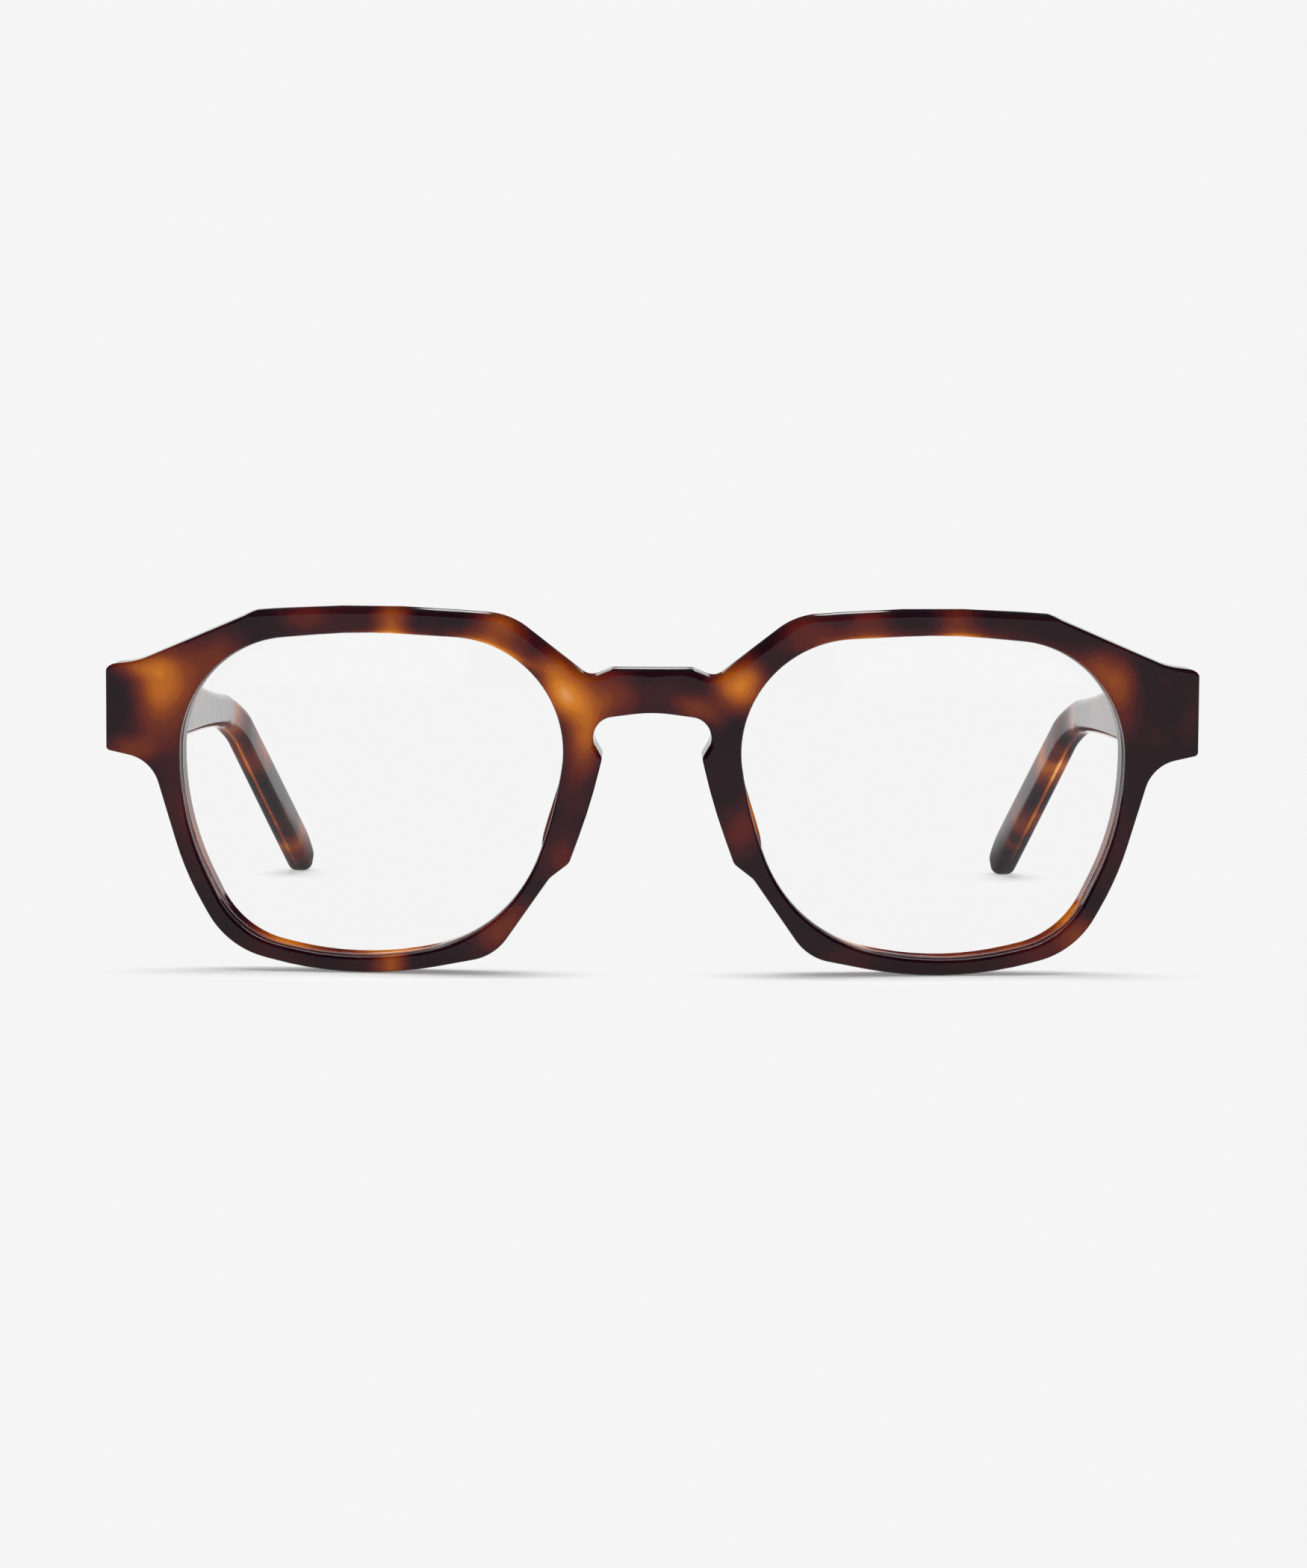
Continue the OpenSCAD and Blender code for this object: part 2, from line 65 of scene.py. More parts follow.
HALF_W, HALF_H = LENS_W / 2, LENS_H / 2
LENS_X, LENS_Z = BRIDGE_W / 2 + HALF_W, RIM_BOTTOM + HALF_H
LENS_TOP = LENS_Z + HALF_H
LENS_TURN = math.asin(LENS_X / FACE_CURVE)
LENS_OUT = BRIDGE_W / 2 + LENS_W * math.cos(LENS_TURN)
LENS_ROUND = min(HALF_W / 1.2, HALF_H)
KEY_TOP = LENS_Z + KEY_RISE
BAR_TOP = KEY_TOP + BAR_H
END_X = LENS_OUT + END_REACH
END_Z = LENS_Z + END_RISE
END_LOW, END_HIGH = END_Z - END_H / 2, END_Z + END_H / 2
HINGE_X = END_X * (1 - FRONT_T / FACE_CURVE) - TEMPLE_SET - TEMPLE_T
HINGE_H = BARRELS * (BARREL_H + BARREL_SLIT) - BARREL_SLIT


def skin_y(x, w):
    """Depth of the front's skin at x, w behind the front face."""
    return FACE_CURVE - np.sqrt((FACE_CURVE - w) ** 2 - np.asarray(x) ** 2)


SEAT_Y = float(skin_y(HINGE_X - 1, FRONT_T))
HINGE_Y = SEAT_Y + BARREL_BACK + BARREL_R
C_LEAN, S_LEAN = math.cos(math.radians(LEAN)), math.sin(math.radians(LEAN))

# Corners of half the outline, [x, z, radius], as in the solid model but sharper at the end pieces
HALF_OUTLINE = [
    [0, KEY_TOP, 20],
    [KEY_W / 2 + 0.35, KEY_TOP - 1.1, 2.8],
    [KEY_W / 2, KEY_TOP - 4.2, 2],
    [PAD_GAP / 2, LENS_Z + 5.3, 0.7],
    [PAD_GAP / 2 + 1.4, LENS_Z - 0.7, 80],
    [PAD_FLARE / 2, LENS_Z - 8.6, 1.6],
    [PAD_FLARE / 2 + 2.55, LENS_Z - 10.6, 3],
    [LENS_X - 0.64 * HALF_W, 2.5, 7],
    [LENS_X + 0.09 * HALF_W, -1.3, 50],
    [LENS_OUT - 6.05, 2.75, 11.5],
    [LENS_OUT - 0.6, LENS_Z - 0.53 * HALF_H, 40],
    [LENS_OUT + 3.9, END_LOW - 1.15, 5],
    [END_X, END_LOW, 0.6],
    [END_X, END_HIGH, 0.9],
    [END_X - 2.9, END_HIGH + 0.3, 12],
    [LENS_OUT - 8.7, LENS_TOP + 1.95, 3.2],
    [LENS_X + 0.5, LENS_TOP + BROW + 0.45, 160],
    [LENS_X - 0.7 * HALF_W, LENS_TOP + 2.1, 9.5],
    [BAR_W / 2 + 3.05, BAR_TOP - 1.2, 2],
    [BAR_W / 2, BAR_TOP, 1.2],
]
OUTLINE = HALF_OUTLINE + [[-x, z, r] for x, z, r in reversed(HALF_OUTLINE) if x > 0]
# Corners of a lens opening, in shares of its half sizes and of its usual rounding
LENS_SHAPE = [[1, -0.19, 1.7], [1, 0.885, 0.76], [0.06, 1.004, 3.5], [-1.085, 0.945, 0.7],
              [-0.945, -0.095, 2.4], [-0.72, -0.86, 0.94], [0.09, -1.045, 2], [0.7, -0.893, 0.57]]
OPENING = [[x * HALF_W, z * HALF_H, r * LENS_ROUND] for x, z, r in LENS_SHAPE]
# rounded() lets the roundings at its two ends take up to this share of a side
SIDE_SHARE = 0.98
# It gives this radius for straight and concave stretches
STRAIGHT = 99.0


def rounded(corners, step=3.0, longest=1.2):
    """Points and outward normals along a chain of rounded corners, anticlockwise, and the radius
    of each convex point (large on straight and concave stretches)."""
    c = np.array(corners, float)
    n = len(c)
    before = [c[i][:2] - c[i - 1][:2] for i in range(n)]
    sides = [np.linalg.norm(v) for v in before]
    dirs = [v / s for v, s in zip(before, sides)]

    def bend(i):
        p, q = dirs[i % n], dirs[(i + 1) % n]
        return math.atan2(p[0] * q[1] - p[1] * q[0], p @ q)

    taken = [c[i][2] * math.tan(abs(bend(i)) / 2) for i in range(n)]
    pts, nrm, rad = [], [], []
    for i in range(n):
        share = min(1, SIDE_SHARE * sides[i] / (taken[i - 1] + taken[i]),
                    SIDE_SHARE * sides[(i + 1) % n] / (taken[i] + taken[(i + 1) % n]))
        p, w, r = dirs[i], bend(i), c[i][2] * share
        side = math.copysign(1, w)
        start = c[i][:2] - p * r * math.tan(abs(w) / 2)
        mid = start + side * r * np.array([-p[1], p[0]])
        k = max(2, math.ceil(math.degrees(abs(w)) / step))
        for j in range(k + 1):
            a = w * j / k
            cos_a, sin_a = math.cos(a), math.sin(a)
            out = np.array([p[0] * sin_a + p[1] * cos_a, -(p[0] * cos_a - p[1] * sin_a)])
            pts.append(mid + side * r * out)
            nrm.append(out)
            rad.append(r if w > 0 else STRAIGHT)
    full_p, full_n, full_r = [], [], []
    for i in range(len(pts)):
        a, b = pts[i], pts[(i + 1) % len(pts)]
        m = max(1, math.ceil(np.linalg.norm(b - a) / longest))
        for j in range(m):
            f = j / m
            full_p.append(a + (b - a) * f)
            v = nrm[i] + (nrm[(i + 1) % len(pts)] - nrm[i]) * f
            full_n.append(v / np.linalg.norm(v))
            full_r.append(rad[i] if f == 0 else min(rad[i], rad[(i + 1) % len(pts)]))
    return np.array(full_p), np.array(full_n), np.array(full_r)


def gentle(limit, pts, slope=0.3):
    """The largest width under each point's limit that grows no faster than slope along the line."""
    w = limit.copy()
    step = np.linalg.norm(np.roll(pts, -1, 0) - pts, axis=1)
    for _ in range(3):
        for i in range(1, 2 * len(w)):
            k = i % len(w)
            w[k] = min(w[k], w[k - 1] + slope * step[k - 1])
        for i in range(2 * len(w) - 1, -1, -1):
            k = i % len(w)
            w[k] = min(w[k], w[(k + 1) % len(w)] + slope * step[k])
    return w


class Surface:
    """Collects vertices, faces and one normal per face corner, then makes an object of them."""

    def __init__(self):
        self.verts, self.faces, self.normals = [], [], []

    def ring(self, pts):
        """Adds points and returns their numbers."""
        first = len(self.verts)
        self.verts.extend(np.asarray(pts, float))
        return np.arange(first, first + len(pts))

    def face(self, ids, normals):
        self.faces.append([int(i) for i in ids])
        self.normals.append(list(normals))

    def strip(self, a, b, na, nb, flip=False):
        """Joins two rings of as many points each by faces."""
        n, way = len(a), -1 if flip else 1
        for i in range(n):
            j = (i + 1) % n
            self.face([a[i], a[j], b[j], b[i]][::way], [na[i], na[j], nb[j], nb[i]][::way])

    def fill(self, rims, pts, tris, sign, normals_at):
        """Adds the triangles tris over the rims and pts, which face the front where sign is -1."""
        table = np.concatenate([*rims, self.ring(pts)])
        places = np.array(self.verts)[table]
        for t in tris[:, ::-sign]:
            self.face(table[t], normals_at(places[t]))

    def build(self, name, place, side=1):
        """Makes the object, or its mirror image where side is -1; place(v, direction) brings points or
        directions into the part's frame."""
        v = place(np.array(self.verts), False) * [side, 1, 1]
        nr = place(np.array([n for f in self.normals for n in f[::side]]), True) * [side, 1, 1]
        mesh = bpy.data.meshes.new(name)
        mesh.from_pydata((v * MM).tolist(), [], [f[::side] for f in self.faces])
        mesh.polygons.foreach_set("use_smooth", [True] * len(mesh.polygons))
        nr = nr / np.maximum(np.linalg.norm(nr, axis=1, keepdims=True), 1e-9)
        mesh.normals_split_custom_set(nr.tolist())
        mesh.update()
        return linked(name, mesh)


def linked(name, data):
    """A new object in the scene."""
    obj = bpy.data.objects.new(name, data)
    bpy.context.scene.collection.objects.link(obj)
    return obj


def inside(points, loop):
    """True for each point inside the closed loop."""
    x, y = points[:, 0], points[:, 1]
    hit = np.zeros(len(points), bool)
    for (ax, ay), (bx, by) in zip(loop, np.roll(loop, -1, 0)):
        if ay != by:
            hit ^= ((ay > y) != (by > y)) & (x < (bx - ax) * (y - ay) / (by - ay) + ax)
    return hit


def filled(outer, holes, spacing):
    """Triangles between an outer loop and its holes, with grid points in between.
    Returns the extra points and the triangles over loops and extra points, anticlockwise."""
    row_share, clear_share = 0.87, 0.45
    loops = [outer, *holes]
    low, high = outer.min(0), outer.max(0)
    rows = np.arange(low[1], high[1], spacing * row_share)
    grid = np.array([[x + (spacing / 2 if k % 2 else 0), z] for k, z in enumerate(rows)
                     for x in np.arange(low[0], high[0], spacing)])
    keep = inside(grid, outer)
    for h in holes:
        keep &= ~inside(grid, h)
    every = np.vstack(loops)
    grid = grid[keep]
    near = np.array([np.min(((every - g) ** 2).sum(1)) for g in grid])
    grid = grid[near > (clear_share * spacing) ** 2]
    edges, first = [], 0
    for lp in loops:
        edges += [(first + i, first + (i + 1) % len(lp)) for i in range(len(lp))]
        first += len(lp)
    co = [Vector(p) for p in np.vstack([every, grid])]
    out = geometry.delaunay_2d_cdt(co, edges, [], 0, 1e-6)
    origin = [o[0] for o in out[3]]
    flat = np.array([list(v) for v in out[0]])
    tris = np.array([f for f in out[2] if len(f) == 3])
    mid = flat[tris].mean(1)
    good = inside(mid, outer)
    for h in holes:
        good &= ~inside(mid, h)
    a, b, c = (flat[tris[:, k]] for k in range(3))
    turned = np.cross(b - a, c - a) < 0
    tris[turned] = tris[turned][:, ::-1]
    return grid, np.array([[origin[i] for i in t] for t in tris[good]])


def bent(x, z, w):
    """A point of the bent front, w behind the front face; x is measured on the front face."""
    a = np.arcsin(x / FACE_CURVE)
    return np.stack([(FACE_CURVE - w) * np.sin(a), FACE_CURVE - (FACE_CURVE - w) * np.cos(a),
                     z + 0 * x], -1)


def turned(v, angle):
    """Turns the x and y of points about the centre of the face's curve."""
    c, s = math.cos(angle), math.sin(angle)
    x, y = v[..., 0], v[..., 1] - FACE_CURVE
    return np.stack([x * c - y * s, x * s + y * c + FACE_CURVE, v[..., 2]], -1)


def turned_dir(v, angle):
    """Turns directions about the z axis."""
    c, s = math.cos(angle), math.sin(angle)
    return np.stack([v[..., 0] * c - v[..., 1] * s, v[..., 0] * s + v[..., 1] * c, v[..., 2]], -1)


def lens_y(x, z, t):
    """Depth of the lens surface t behind its front side, in the lens's own frame."""
    return CROWN_SET + LENS_CURVE - np.sqrt((LENS_CURVE - t) ** 2 - x * x - z * z)


# Standing place: the front leans forward on its lower rims
OUT_P, OUT_N, OUT_R = rounded(OUTLINE)
OPEN_P, OPEN_N, _ = rounded(OPENING, longest=1.0)
edge = bent(OUT_P[:, 0], OUT_P[:, 1], 0.0)
FLOOR_Z = float((edge[:, 2] * C_LEAN + edge[:, 1] * S_LEAN).min())
BROW_FRONT = float((edge[:, 1] * C_LEAN - edge[:, 2] * S_LEAN).min())
MIDDLE_Y = BROW_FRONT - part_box("front")[0].y / MM


def stand(v, direction=False):
    """Brings points, or directions, of the front's own frame into the part's frame."""
    out = np.stack([v[..., 0], v[..., 1] * C_LEAN - v[..., 2] * S_LEAN,
                    v[..., 1] * S_LEAN + v[..., 2] * C_LEAN], -1)
    return out if direction else out - np.array([0, MIDDLE_Y, FLOOR_Z])


def lens_ring(d, t):
    """Points d outside the opening's line on the lens surface t behind its front side."""
    x, z = (OPEN_P + OPEN_N * d).T
    return np.stack([x, lens_y(x, z, t), z], -1)


# Nodes

def new_material(name):
    """A material with an empty node tree."""
    mat = bpy.data.materials.new(name)
    mat.use_nodes = True
    tree = mat.node_tree
    tree.nodes.clear()
    return mat, tree


def node(tree, kind, inputs=(), **props):
    """A new node; inputs are sockets to link or plain values."""
    n = tree.nodes.new(kind)
    for k, v in props.items():
        setattr(n, k, v)
    for k, v in dict(inputs).items():
        s = n.inputs[k]
        if isinstance(v, bpy.types.NodeSocket):
            tree.links.new(v, s)
        else:
            s.default_value = v
    return n


def value(tree, kind, inputs=(), **props):
    """The first output of a new node."""
    return node(tree, kind, inputs, **props).outputs[0]


def math_node(tree, op, a, b=0.0, c=0.0, clamp=False):
    return value(tree, "ShaderNodeMath", {0: a, 1: b, 2: c}, operation=op, use_clamp=clamp)


def remap(tree, fac, start, end, low, high, kind="LINEAR"):
    """fac, as it runs from start to end, brought between low and high."""
    return value(tree, "ShaderNodeMapRange", {"Value": fac, "From Min": start, "From Max": end,
                                              "To Min": low, "To Max": high}, interpolation_type=kind)


def noise(tree, co, scale, detail, rough=0.5, output="Fac"):
    return node(tree, "ShaderNodeTexNoise", {"Vector": co, "Scale": scale, "Detail": detail,
                                             "Roughness": rough}).outputs[output]


def own_place(tree):
    """A point's place in its object, in metres."""
    return node(tree, "ShaderNodeTexCoord").outputs["Object"]


def millimetres(tree):
    """A point's place in its object, in millimetres."""
    return value(tree, "ShaderNodeVectorMath", {0: own_place(tree), "Scale": 1 / MM}, operation="SCALE")


def axis_of(tree, co, axis):
    return node(tree, "ShaderNodeSeparateXYZ", {0: co}).outputs[axis]


def flattened(tree, co, across, up):
    """Two axes of a place, laid into the plane of the patches."""
    return value(tree, "ShaderNodeCombineXYZ", {0: axis_of(tree, co, across), 2: axis_of(tree, co, up)})


def bumped(tree, height, strength, distance):
    return value(tree, "ShaderNodeBump", {"Strength": strength, "Distance": distance, "Height": height})


def soft_ball(tree, co, place, turn, size):
    """1 at place, falling to 0 at size from it along each axis."""
    ball = node(tree, "ShaderNodeTexGradient", {"Vector": co}, gradient_type="SPHERICAL")
    own = ball.texture_mapping
    own.vector_type = "TEXTURE"
    own.translation, own.rotation, own.scale = place, turn, size
    return ball.outputs["Fac"]


def mixed(tree, share, a, b):
    """Shader a where share is 0 and b where it is 1."""
    return value(tree, "ShaderNodeMixShader", {0: share, 1: a, 2: b})


def show(tree, shader, kind="Material"):
    """Links a shader to the tree's output."""
    tree.links.new(shader, node(tree, "ShaderNodeOutput" + kind).inputs["Surface"])


# Depth of a patch that goes right through the sheet
ENDLESS = 1e5


def patch(tree, co, x, z, a, b, strength, turn, total):
    """Adds a soft elliptic patch in the x-z plane to total; it is half as strong at the half
    widths a and b."""
    ball = soft_ball(tree, co, (x, 0, z), (0, -math.radians(turn), 0), (2 * a, ENDLESS, 2 * b))
    return math_node(tree, "ADD", remap(tree, ball, 0, 1, 0, strength, "SMOOTHSTEP"), total)


def ramp(tree, fac, stops, interpolation):
    """Colours along fac, from (place, colour) stops."""
    n = node(tree, "ShaderNodeValToRGB", {"Fac": fac})
    n.color_ramp.interpolation = interpolation
    while len(n.color_ramp.elements) > 1:
        n.color_ramp.elements.remove(n.color_ramp.elements[-1])
    for i, (pos, col) in enumerate(stops):
        e = n.color_ramp.elements[0] if i == 0 else n.color_ramp.elements.new(pos)
        e.position = pos
        e.color = (*col, 1)
    return n.outputs["Color"]


# Colours of the acetate from the dark ground to the palest amber, by warmth; the palest end is also the
# colour of the painted glow at the brow's lower edge
HAVANA = [(0.0, (0.010, 0.0015, 0.005)), (0.12, (0.040, 0.004, 0.007)), (0.24, (0.100, 0.009, 0.007)),
          (0.36, (0.160, 0.022, 0.006)), (0.48, (0.250, 0.043, 0.005)), (0.60, (0.390, 0.085, 0.005)),
          (0.72, (0.530, 0.135, 0.006)), (0.84, (0.720, 0.220, 0.012)), (1.0, (1.0, 0.470, 0.190))]

# Amber and rust patches on the front: x, z, half width, half height, strength, turn in degrees
FACE_PATCHES = [
    (-64.2, 38.0, 3.6, 3.4, 0.46, 0), (-64.6, 34.0, 2.4, 4.0, 0.24, 0), (-59.5, 39.5, 4.6, 3.6, 0.22, 25),
    (-67.5, 39.6, 3.6, 1.4, 0.34, 0), (-63.0, 31.5, 4.4, 4.4, 0.20, 0), (-68.6, 28.4, 2.8, 1.6, 0.32, 0),
    (-56.6, 41.6, 3.0, 2.4, 0.16, 25), (-58.0, 33.0, 3.0, 7.0, 0.08, 0), (-70.2, 34.4, 1.7, 2.2, -0.08, 0),
    (-45.0, 46.8, 3.0, 2.0, 0.24, 0), (-37.5, 45.5, 3.6, 2.4, 0.12, 0), (-33.9, 46.2, 1.8, 3.4, 0.48, 0),
    (-31.0, 45.0, 3.0, 2.0, 0.08, 0), (-19.8, 45.8, 2.8, 3.2, 0.52, -25), (-23.0, 43.6, 2.6, 1.6, 0.14, -20),
    (-16.4, 42.6, 1.6, 1.6, 0.10, 0), (-12.0, 38.7, 2.4, 3.4, 0.74, 24), (-12.2, 36.0, 1.6, 2.4, 0.22, 10),
    (-6.8, 37.4, 3.2, 3.0, 0.36, 0), (-8.8, 34.2, 2.5, 3.0, 0.42, 0), (-8.8, 30.4, 1.9, 3.0, 0.46, 0),
    (-10.6, 26.4, 2.0, 3.0, 0.16, 0), (-3.0, 36.2, 2.6, 2.4, 0.15, 0), (-9.0, 22.5, 2.0, 4.0, 0.06, 0),
    (-11.6, 15.4, 2.4, 2.4, 0.22, 0), (-12.0, 20.0, 2.0, 2.4, 0.06, 0), (-18.6, 6.8, 3.4, 2.0, 0.34, 45),
    (-21.4, 4.6, 2.4, 1.8, 0.12, 30), (-34.0, 0.8, 1.7, 3.2, 0.56, 0), (-37.0, 1.0, 2.0, 1.8, 0.08, 0),
    (-49.0, 1.6, 4.4, 1.4, 0.10, -20), (-61.2, 20.8, 2.4, 4.4, 0.17, 12), (-60.0, 13.0, 2.0, 3.0, 0.05, 12),
    (11.2, 38.4, 2.7, 2.6, 0.82, -20), (6.0, 35.2, 2.6, 1.5, 0.36, -15), (3.2, 37.2, 3.0, 2.4, 0.12, 0),
    (8.4, 33.6, 1.6, 1.4, 0.10, 0), (13.0, 40.6, 1.6, 1.4, 0.12, 35), (19.8, 45.8, 3.0, 2.2, 0.24, 10),
    (16.6, 43.4, 2.6, 1.6, 0.05, 30), (27.6, 45.8, 2.3, 2.6, 0.30, 0), (23.6, 44.6, 2.4, 1.6, 0.14, 0),
    (31.4, 44.8, 2.6, 1.4, 0.10, 0), (39.6, 46.0, 2.3, 2.8, 0.34, 0), (43.6, 44.6, 3.0, 1.2, 0.14, 0),
    (51.6, 42.2, 4.0, 1.4, 0.20, -22), (59.4, 38.8, 2.5, 3.0, 0.44, 10), (56.6, 40.8, 2.6, 2.0, 0.16, -25),
    (61.6, 35.6, 1.8, 3.6, 0.24, 0), (63.4, 32.0, 2.6, 5.0, 0.04, 0), (70.6, 33.2, 1.4, 3.2, 0.09, 0),
    (11.4, 19.2, 2.4, 2.8, 0.25, 0), (12.6, 24.0, 1.2, 4.0, 0.08, 0), (56.0, 5.0, 2.3, 2.0, 0.34, 40),
    (53.0, 3.6, 3.4, 1.8, 0.15, 25), (48.6, 1.8, 3.6, 1.4, 0.10, 8), (25.8, 2.0, 3.4, 1.6, 0.12, 0),
    (60.6, 16.8, 2.2, 5.0, 0.09, -12), (58.6, 25.0, 2.6, 4.0, 0.04, 0), (38.0, 1.0, 8.0, 1.4, 0.03, 0),
]
# Painted glow: bright rims painted into the colour where light would come through the lower edge of the brow
PAINTED_GLOW_PATCHES = [
    (-34.2, 43.95, 4.0, 0.62, 0.80, 0), (-35.0, 44.3, 5.2, 0.8, 0.30, 3), (-20.8, 42.5, 4.0, 0.75, 0.72, -20),
    (-20.0, 42.9, 5.0, 0.9, 0.26, -20), (27.4, 43.85, 3.6, 0.60, 0.58, 4), (26.6, 44.1, 5.6, 0.8, 0.28, 6),
    (39.8, 44.15, 3.0, 0.60, 0.64, -2), (40.4, 44.4, 4.4, 0.8, 0.24, -4), (52.6, 41.8, 3.0, 0.6, 0.20, -24),
]
# Patches that show on the inner walls of the rims, behind the lenses
WALL_PATCHES = [
    (-47.4, 4.0, 3.8, 2.6, 0.80, -14), (-33.0, 2.4, 4.6, 2.2, 0.88, 0), (-21.5, 5.4, 4.4, 2.2, 0.50, 24),
    (-58.8, 17.0, 2.8, 7.0, 0.46, 12), (-40.5, 2.4, 3.0, 2.0, 0.20, 0), (25.8, 4.2, 4.2, 2.4, 0.78, -16),
    (40.0, 2.1, 6.0, 2.2, 0.40, 0), (48.6, 3.0, 3.0, 2.0, 0.40, 10), (55.2, 6.8, 3.2, 3.0, 0.76, 44),
    (60.0, 16.0, 2.8, 6.0, 0.42, -8), (13.4, 21.6, 2.0, 5.0, 0.70, 0), (-13.4, 20.0, 2.0, 6.0, 0.24, 0),
]


def warmth(tree, co, patches):
    """The sum of all patches at a point."""
    total = 0.0
    for values in patches:
        total = patch(tree, co, *values, total)
    return total


# How far the swirl of the sheet moves a patch, and how far its clouds change the warmth
SWIRL, CLOUD = 1.6, 0.16


def acetate(name, field):
    """Polished tortoiseshell. field(tree, swirled, mm) gives the warmth at a point, from its place in
    millimetres with and without the swirl of the sheet."""
    mat, tree = new_material(name)
    mm = millimetres(tree)
    swirl = noise(tree, mm, 0.16, 3.0, 0.55, "Color")
    away = value(tree, "ShaderNodeVectorMath", {0: swirl, 1: (0.5, 0.5, 0.5)}, operation="SUBTRACT")
    swirled = value(tree, "ShaderNodeVectorMath", {0: away, 1: (SWIRL, SWIRL, SWIRL), 2: mm},
                    operation="MULTIPLY_ADD")
    warm = field(tree, swirled, mm)
    cloud = math_node(tree, "MULTIPLY_ADD", noise(tree, mm, 0.22, 4.0, 0.6), CLOUD, -CLOUD / 2)
    warm = math_node(tree, "ADD", warm, cloud, clamp=True)
    rough = remap(tree, noise(tree, mm, 1.6, 4.0, 0.65), 0.3, 0.75, 0.045, 0.085)
    wave = bumped(tree, noise(tree, mm, 0.30, 1.0, 0.4), 0.5, 0.00005)
    show(tree, value(tree, "ShaderNodeBsdfPrincipled", {
        "Base Color": ramp(tree, warm, HAVANA, "EASE"), "Roughness": rough, "IOR": 1.48,
        "Specular IOR Level": 0.5, "Normal": wave}))
    return mat


def front_field(tree, co, mm):
    """Warmth of the front, by its place in the front's own frame: x across, y depth behind the
    middle of the face, z up."""
    own, exact = (value(tree, "ShaderNodeMapping", {"Vector": v, "Location": (0, -MIDDLE_Y, -FLOOR_Z),
                                                    "Rotation": (math.radians(LEAN), 0, 0)},
                        vector_type="TEXTURE") for v in (co, mm))
    across = axis_of(tree, exact, "X")
    squared = math_node(tree, "MULTIPLY", across, across)
    depth = math_node(tree, "MULTIPLY_ADD", squared, -0.5 / FACE_CURVE, axis_of(tree, exact, "Y"))
    face = warmth(tree, own, FACE_PATCHES)
    # Painted glow: brighter colour along the brow's lower edge, standing in for light shining through the
    # acetate
    painted_glow = warmth(tree, exact, PAINTED_GLOW_PATCHES)
    # The walls begin behind the rounding of the face
    deep = remap(tree, depth, 0.7, 1.6, 0, 1, "SMOOTHSTEP")
    walls = math_node(tree, "MULTIPLY", warmth(tree, exact, WALL_PATCHES), deep)
    return math_node(tree, "SMOOTH_MAX", math_node(tree, "ADD", face, painted_glow), walls, 0.1)


# Patches along the temples, seen from the side: y, z, half length, half height, strength, turn
TEMPLE_PATCHES = {
    "left": [
        (30.0, 26.0, 3.4, 3.0, 0.50, 0), (47.0, 19.0, 5.0, 3.6, 0.42, 0), (60.0, 10.0, 4.0, 3.0, 0.34, 0),
        (-20.0, 40.0, 9.0, 3.0, 0.30, 0), (2.0, 31.0, 8.0, 3.0, 0.16, 0), (-44.0, 34.0, 7.0, 3.0, 0.26, 0),
    ],
    "right": [
        (34.0, 26.0, 4.4, 3.4, 0.52, 0), (45.0, 20.0, 4.0, 3.0, 0.34, 0), (68.0, 4.0, 5.0, 3.0, 0.32, 0),
        (-30.0, 38.0, 8.0, 3.0, 0.30, 0), (-4.0, 33.0, 9.0, 3.0, 0.18, 0), (-50.0, 36.0, 7.0, 3.0, 0.26, 0),
    ],
}
# A paler thread down the drop, a painted glow of light through the drop's edge, seen from above: x, y, half
# width, half length, strength, turn
PAINTED_GLOW_THREAD = (58.5, 50.0, 0.25, 17.0, 0.55, 12.4)


def temple_field(word):
    """Warmth of a temple, by its place seen from the side."""
    def field(tree, co, mm):
        from_side = flattened(tree, co, "Y", "Z")
        spread = remap(tree, noise(tree, co, 0.11, 2.0, 0.45), 0.50, 0.72, 0.0, 0.30, "SMOOTHSTEP")
        warm = math_node(tree, "ADD", warmth(tree, from_side, TEMPLE_PATCHES[word]), spread)
        from_above = flattened(tree, mm, "X", "Y")
        # The paler thread is a painted glow of light through the drop's edge
        x, y, wide, far, strength, turn = PAINTED_GLOW_THREAD
        side = 1 if word == "left" else -1
        return patch(tree, from_above, side * x, y, wide, far, strength, side * turn, warm)
    return field


def metal(name, colour, rough, grain):
    """Satin metal with a fine grain drawn out along z."""
    mat, tree = new_material(name)
    lines = value(tree, "ShaderNodeMapping", {"Vector": millimetres(tree), "Scale": (9, 9, 0.8)})
    fine = noise(tree, lines, grain, 3.0)
    dim = tuple(c * 0.82 for c in colour)
    show(tree, value(tree, "ShaderNodeBsdfPrincipled", {
        "Base Color": ramp(tree, fine, [(0.3, dim), (0.7, colour)], "LINEAR"), "Metallic": 1.0,
        "Roughness": remap(tree, fine, 0, 1, rough * 0.7, rough * 1.4),
        "Normal": bumped(tree, fine, 0.4, 0.00001)}))
    return mat


def lens_material():
    """Clear and thin: it bends little, and lets light through to the floor."""
    mat, tree = new_material("clear_lens")
    haze = remap(tree, noise(tree, own_place(tree), 90.0, 2.0), 0, 1, 0.0, 0.002)
    glassy = value(tree, "ShaderNodeBsdfPrincipled", {"Base Color": (1.0, 1.0, 1.0, 1), "IOR": 1.22,
                                                      "Roughness": haze, "Transmission Weight": 1.0})
    clear = value(tree, "ShaderNodeBsdfTransparent", {"Color": (0.97, 0.98, 0.98, 1)})
    shadow = node(tree, "ShaderNodeLightPath").outputs["Is Shadow Ray"]
    show(tree, mixed(tree, shadow, glassy, clear))
    return mat


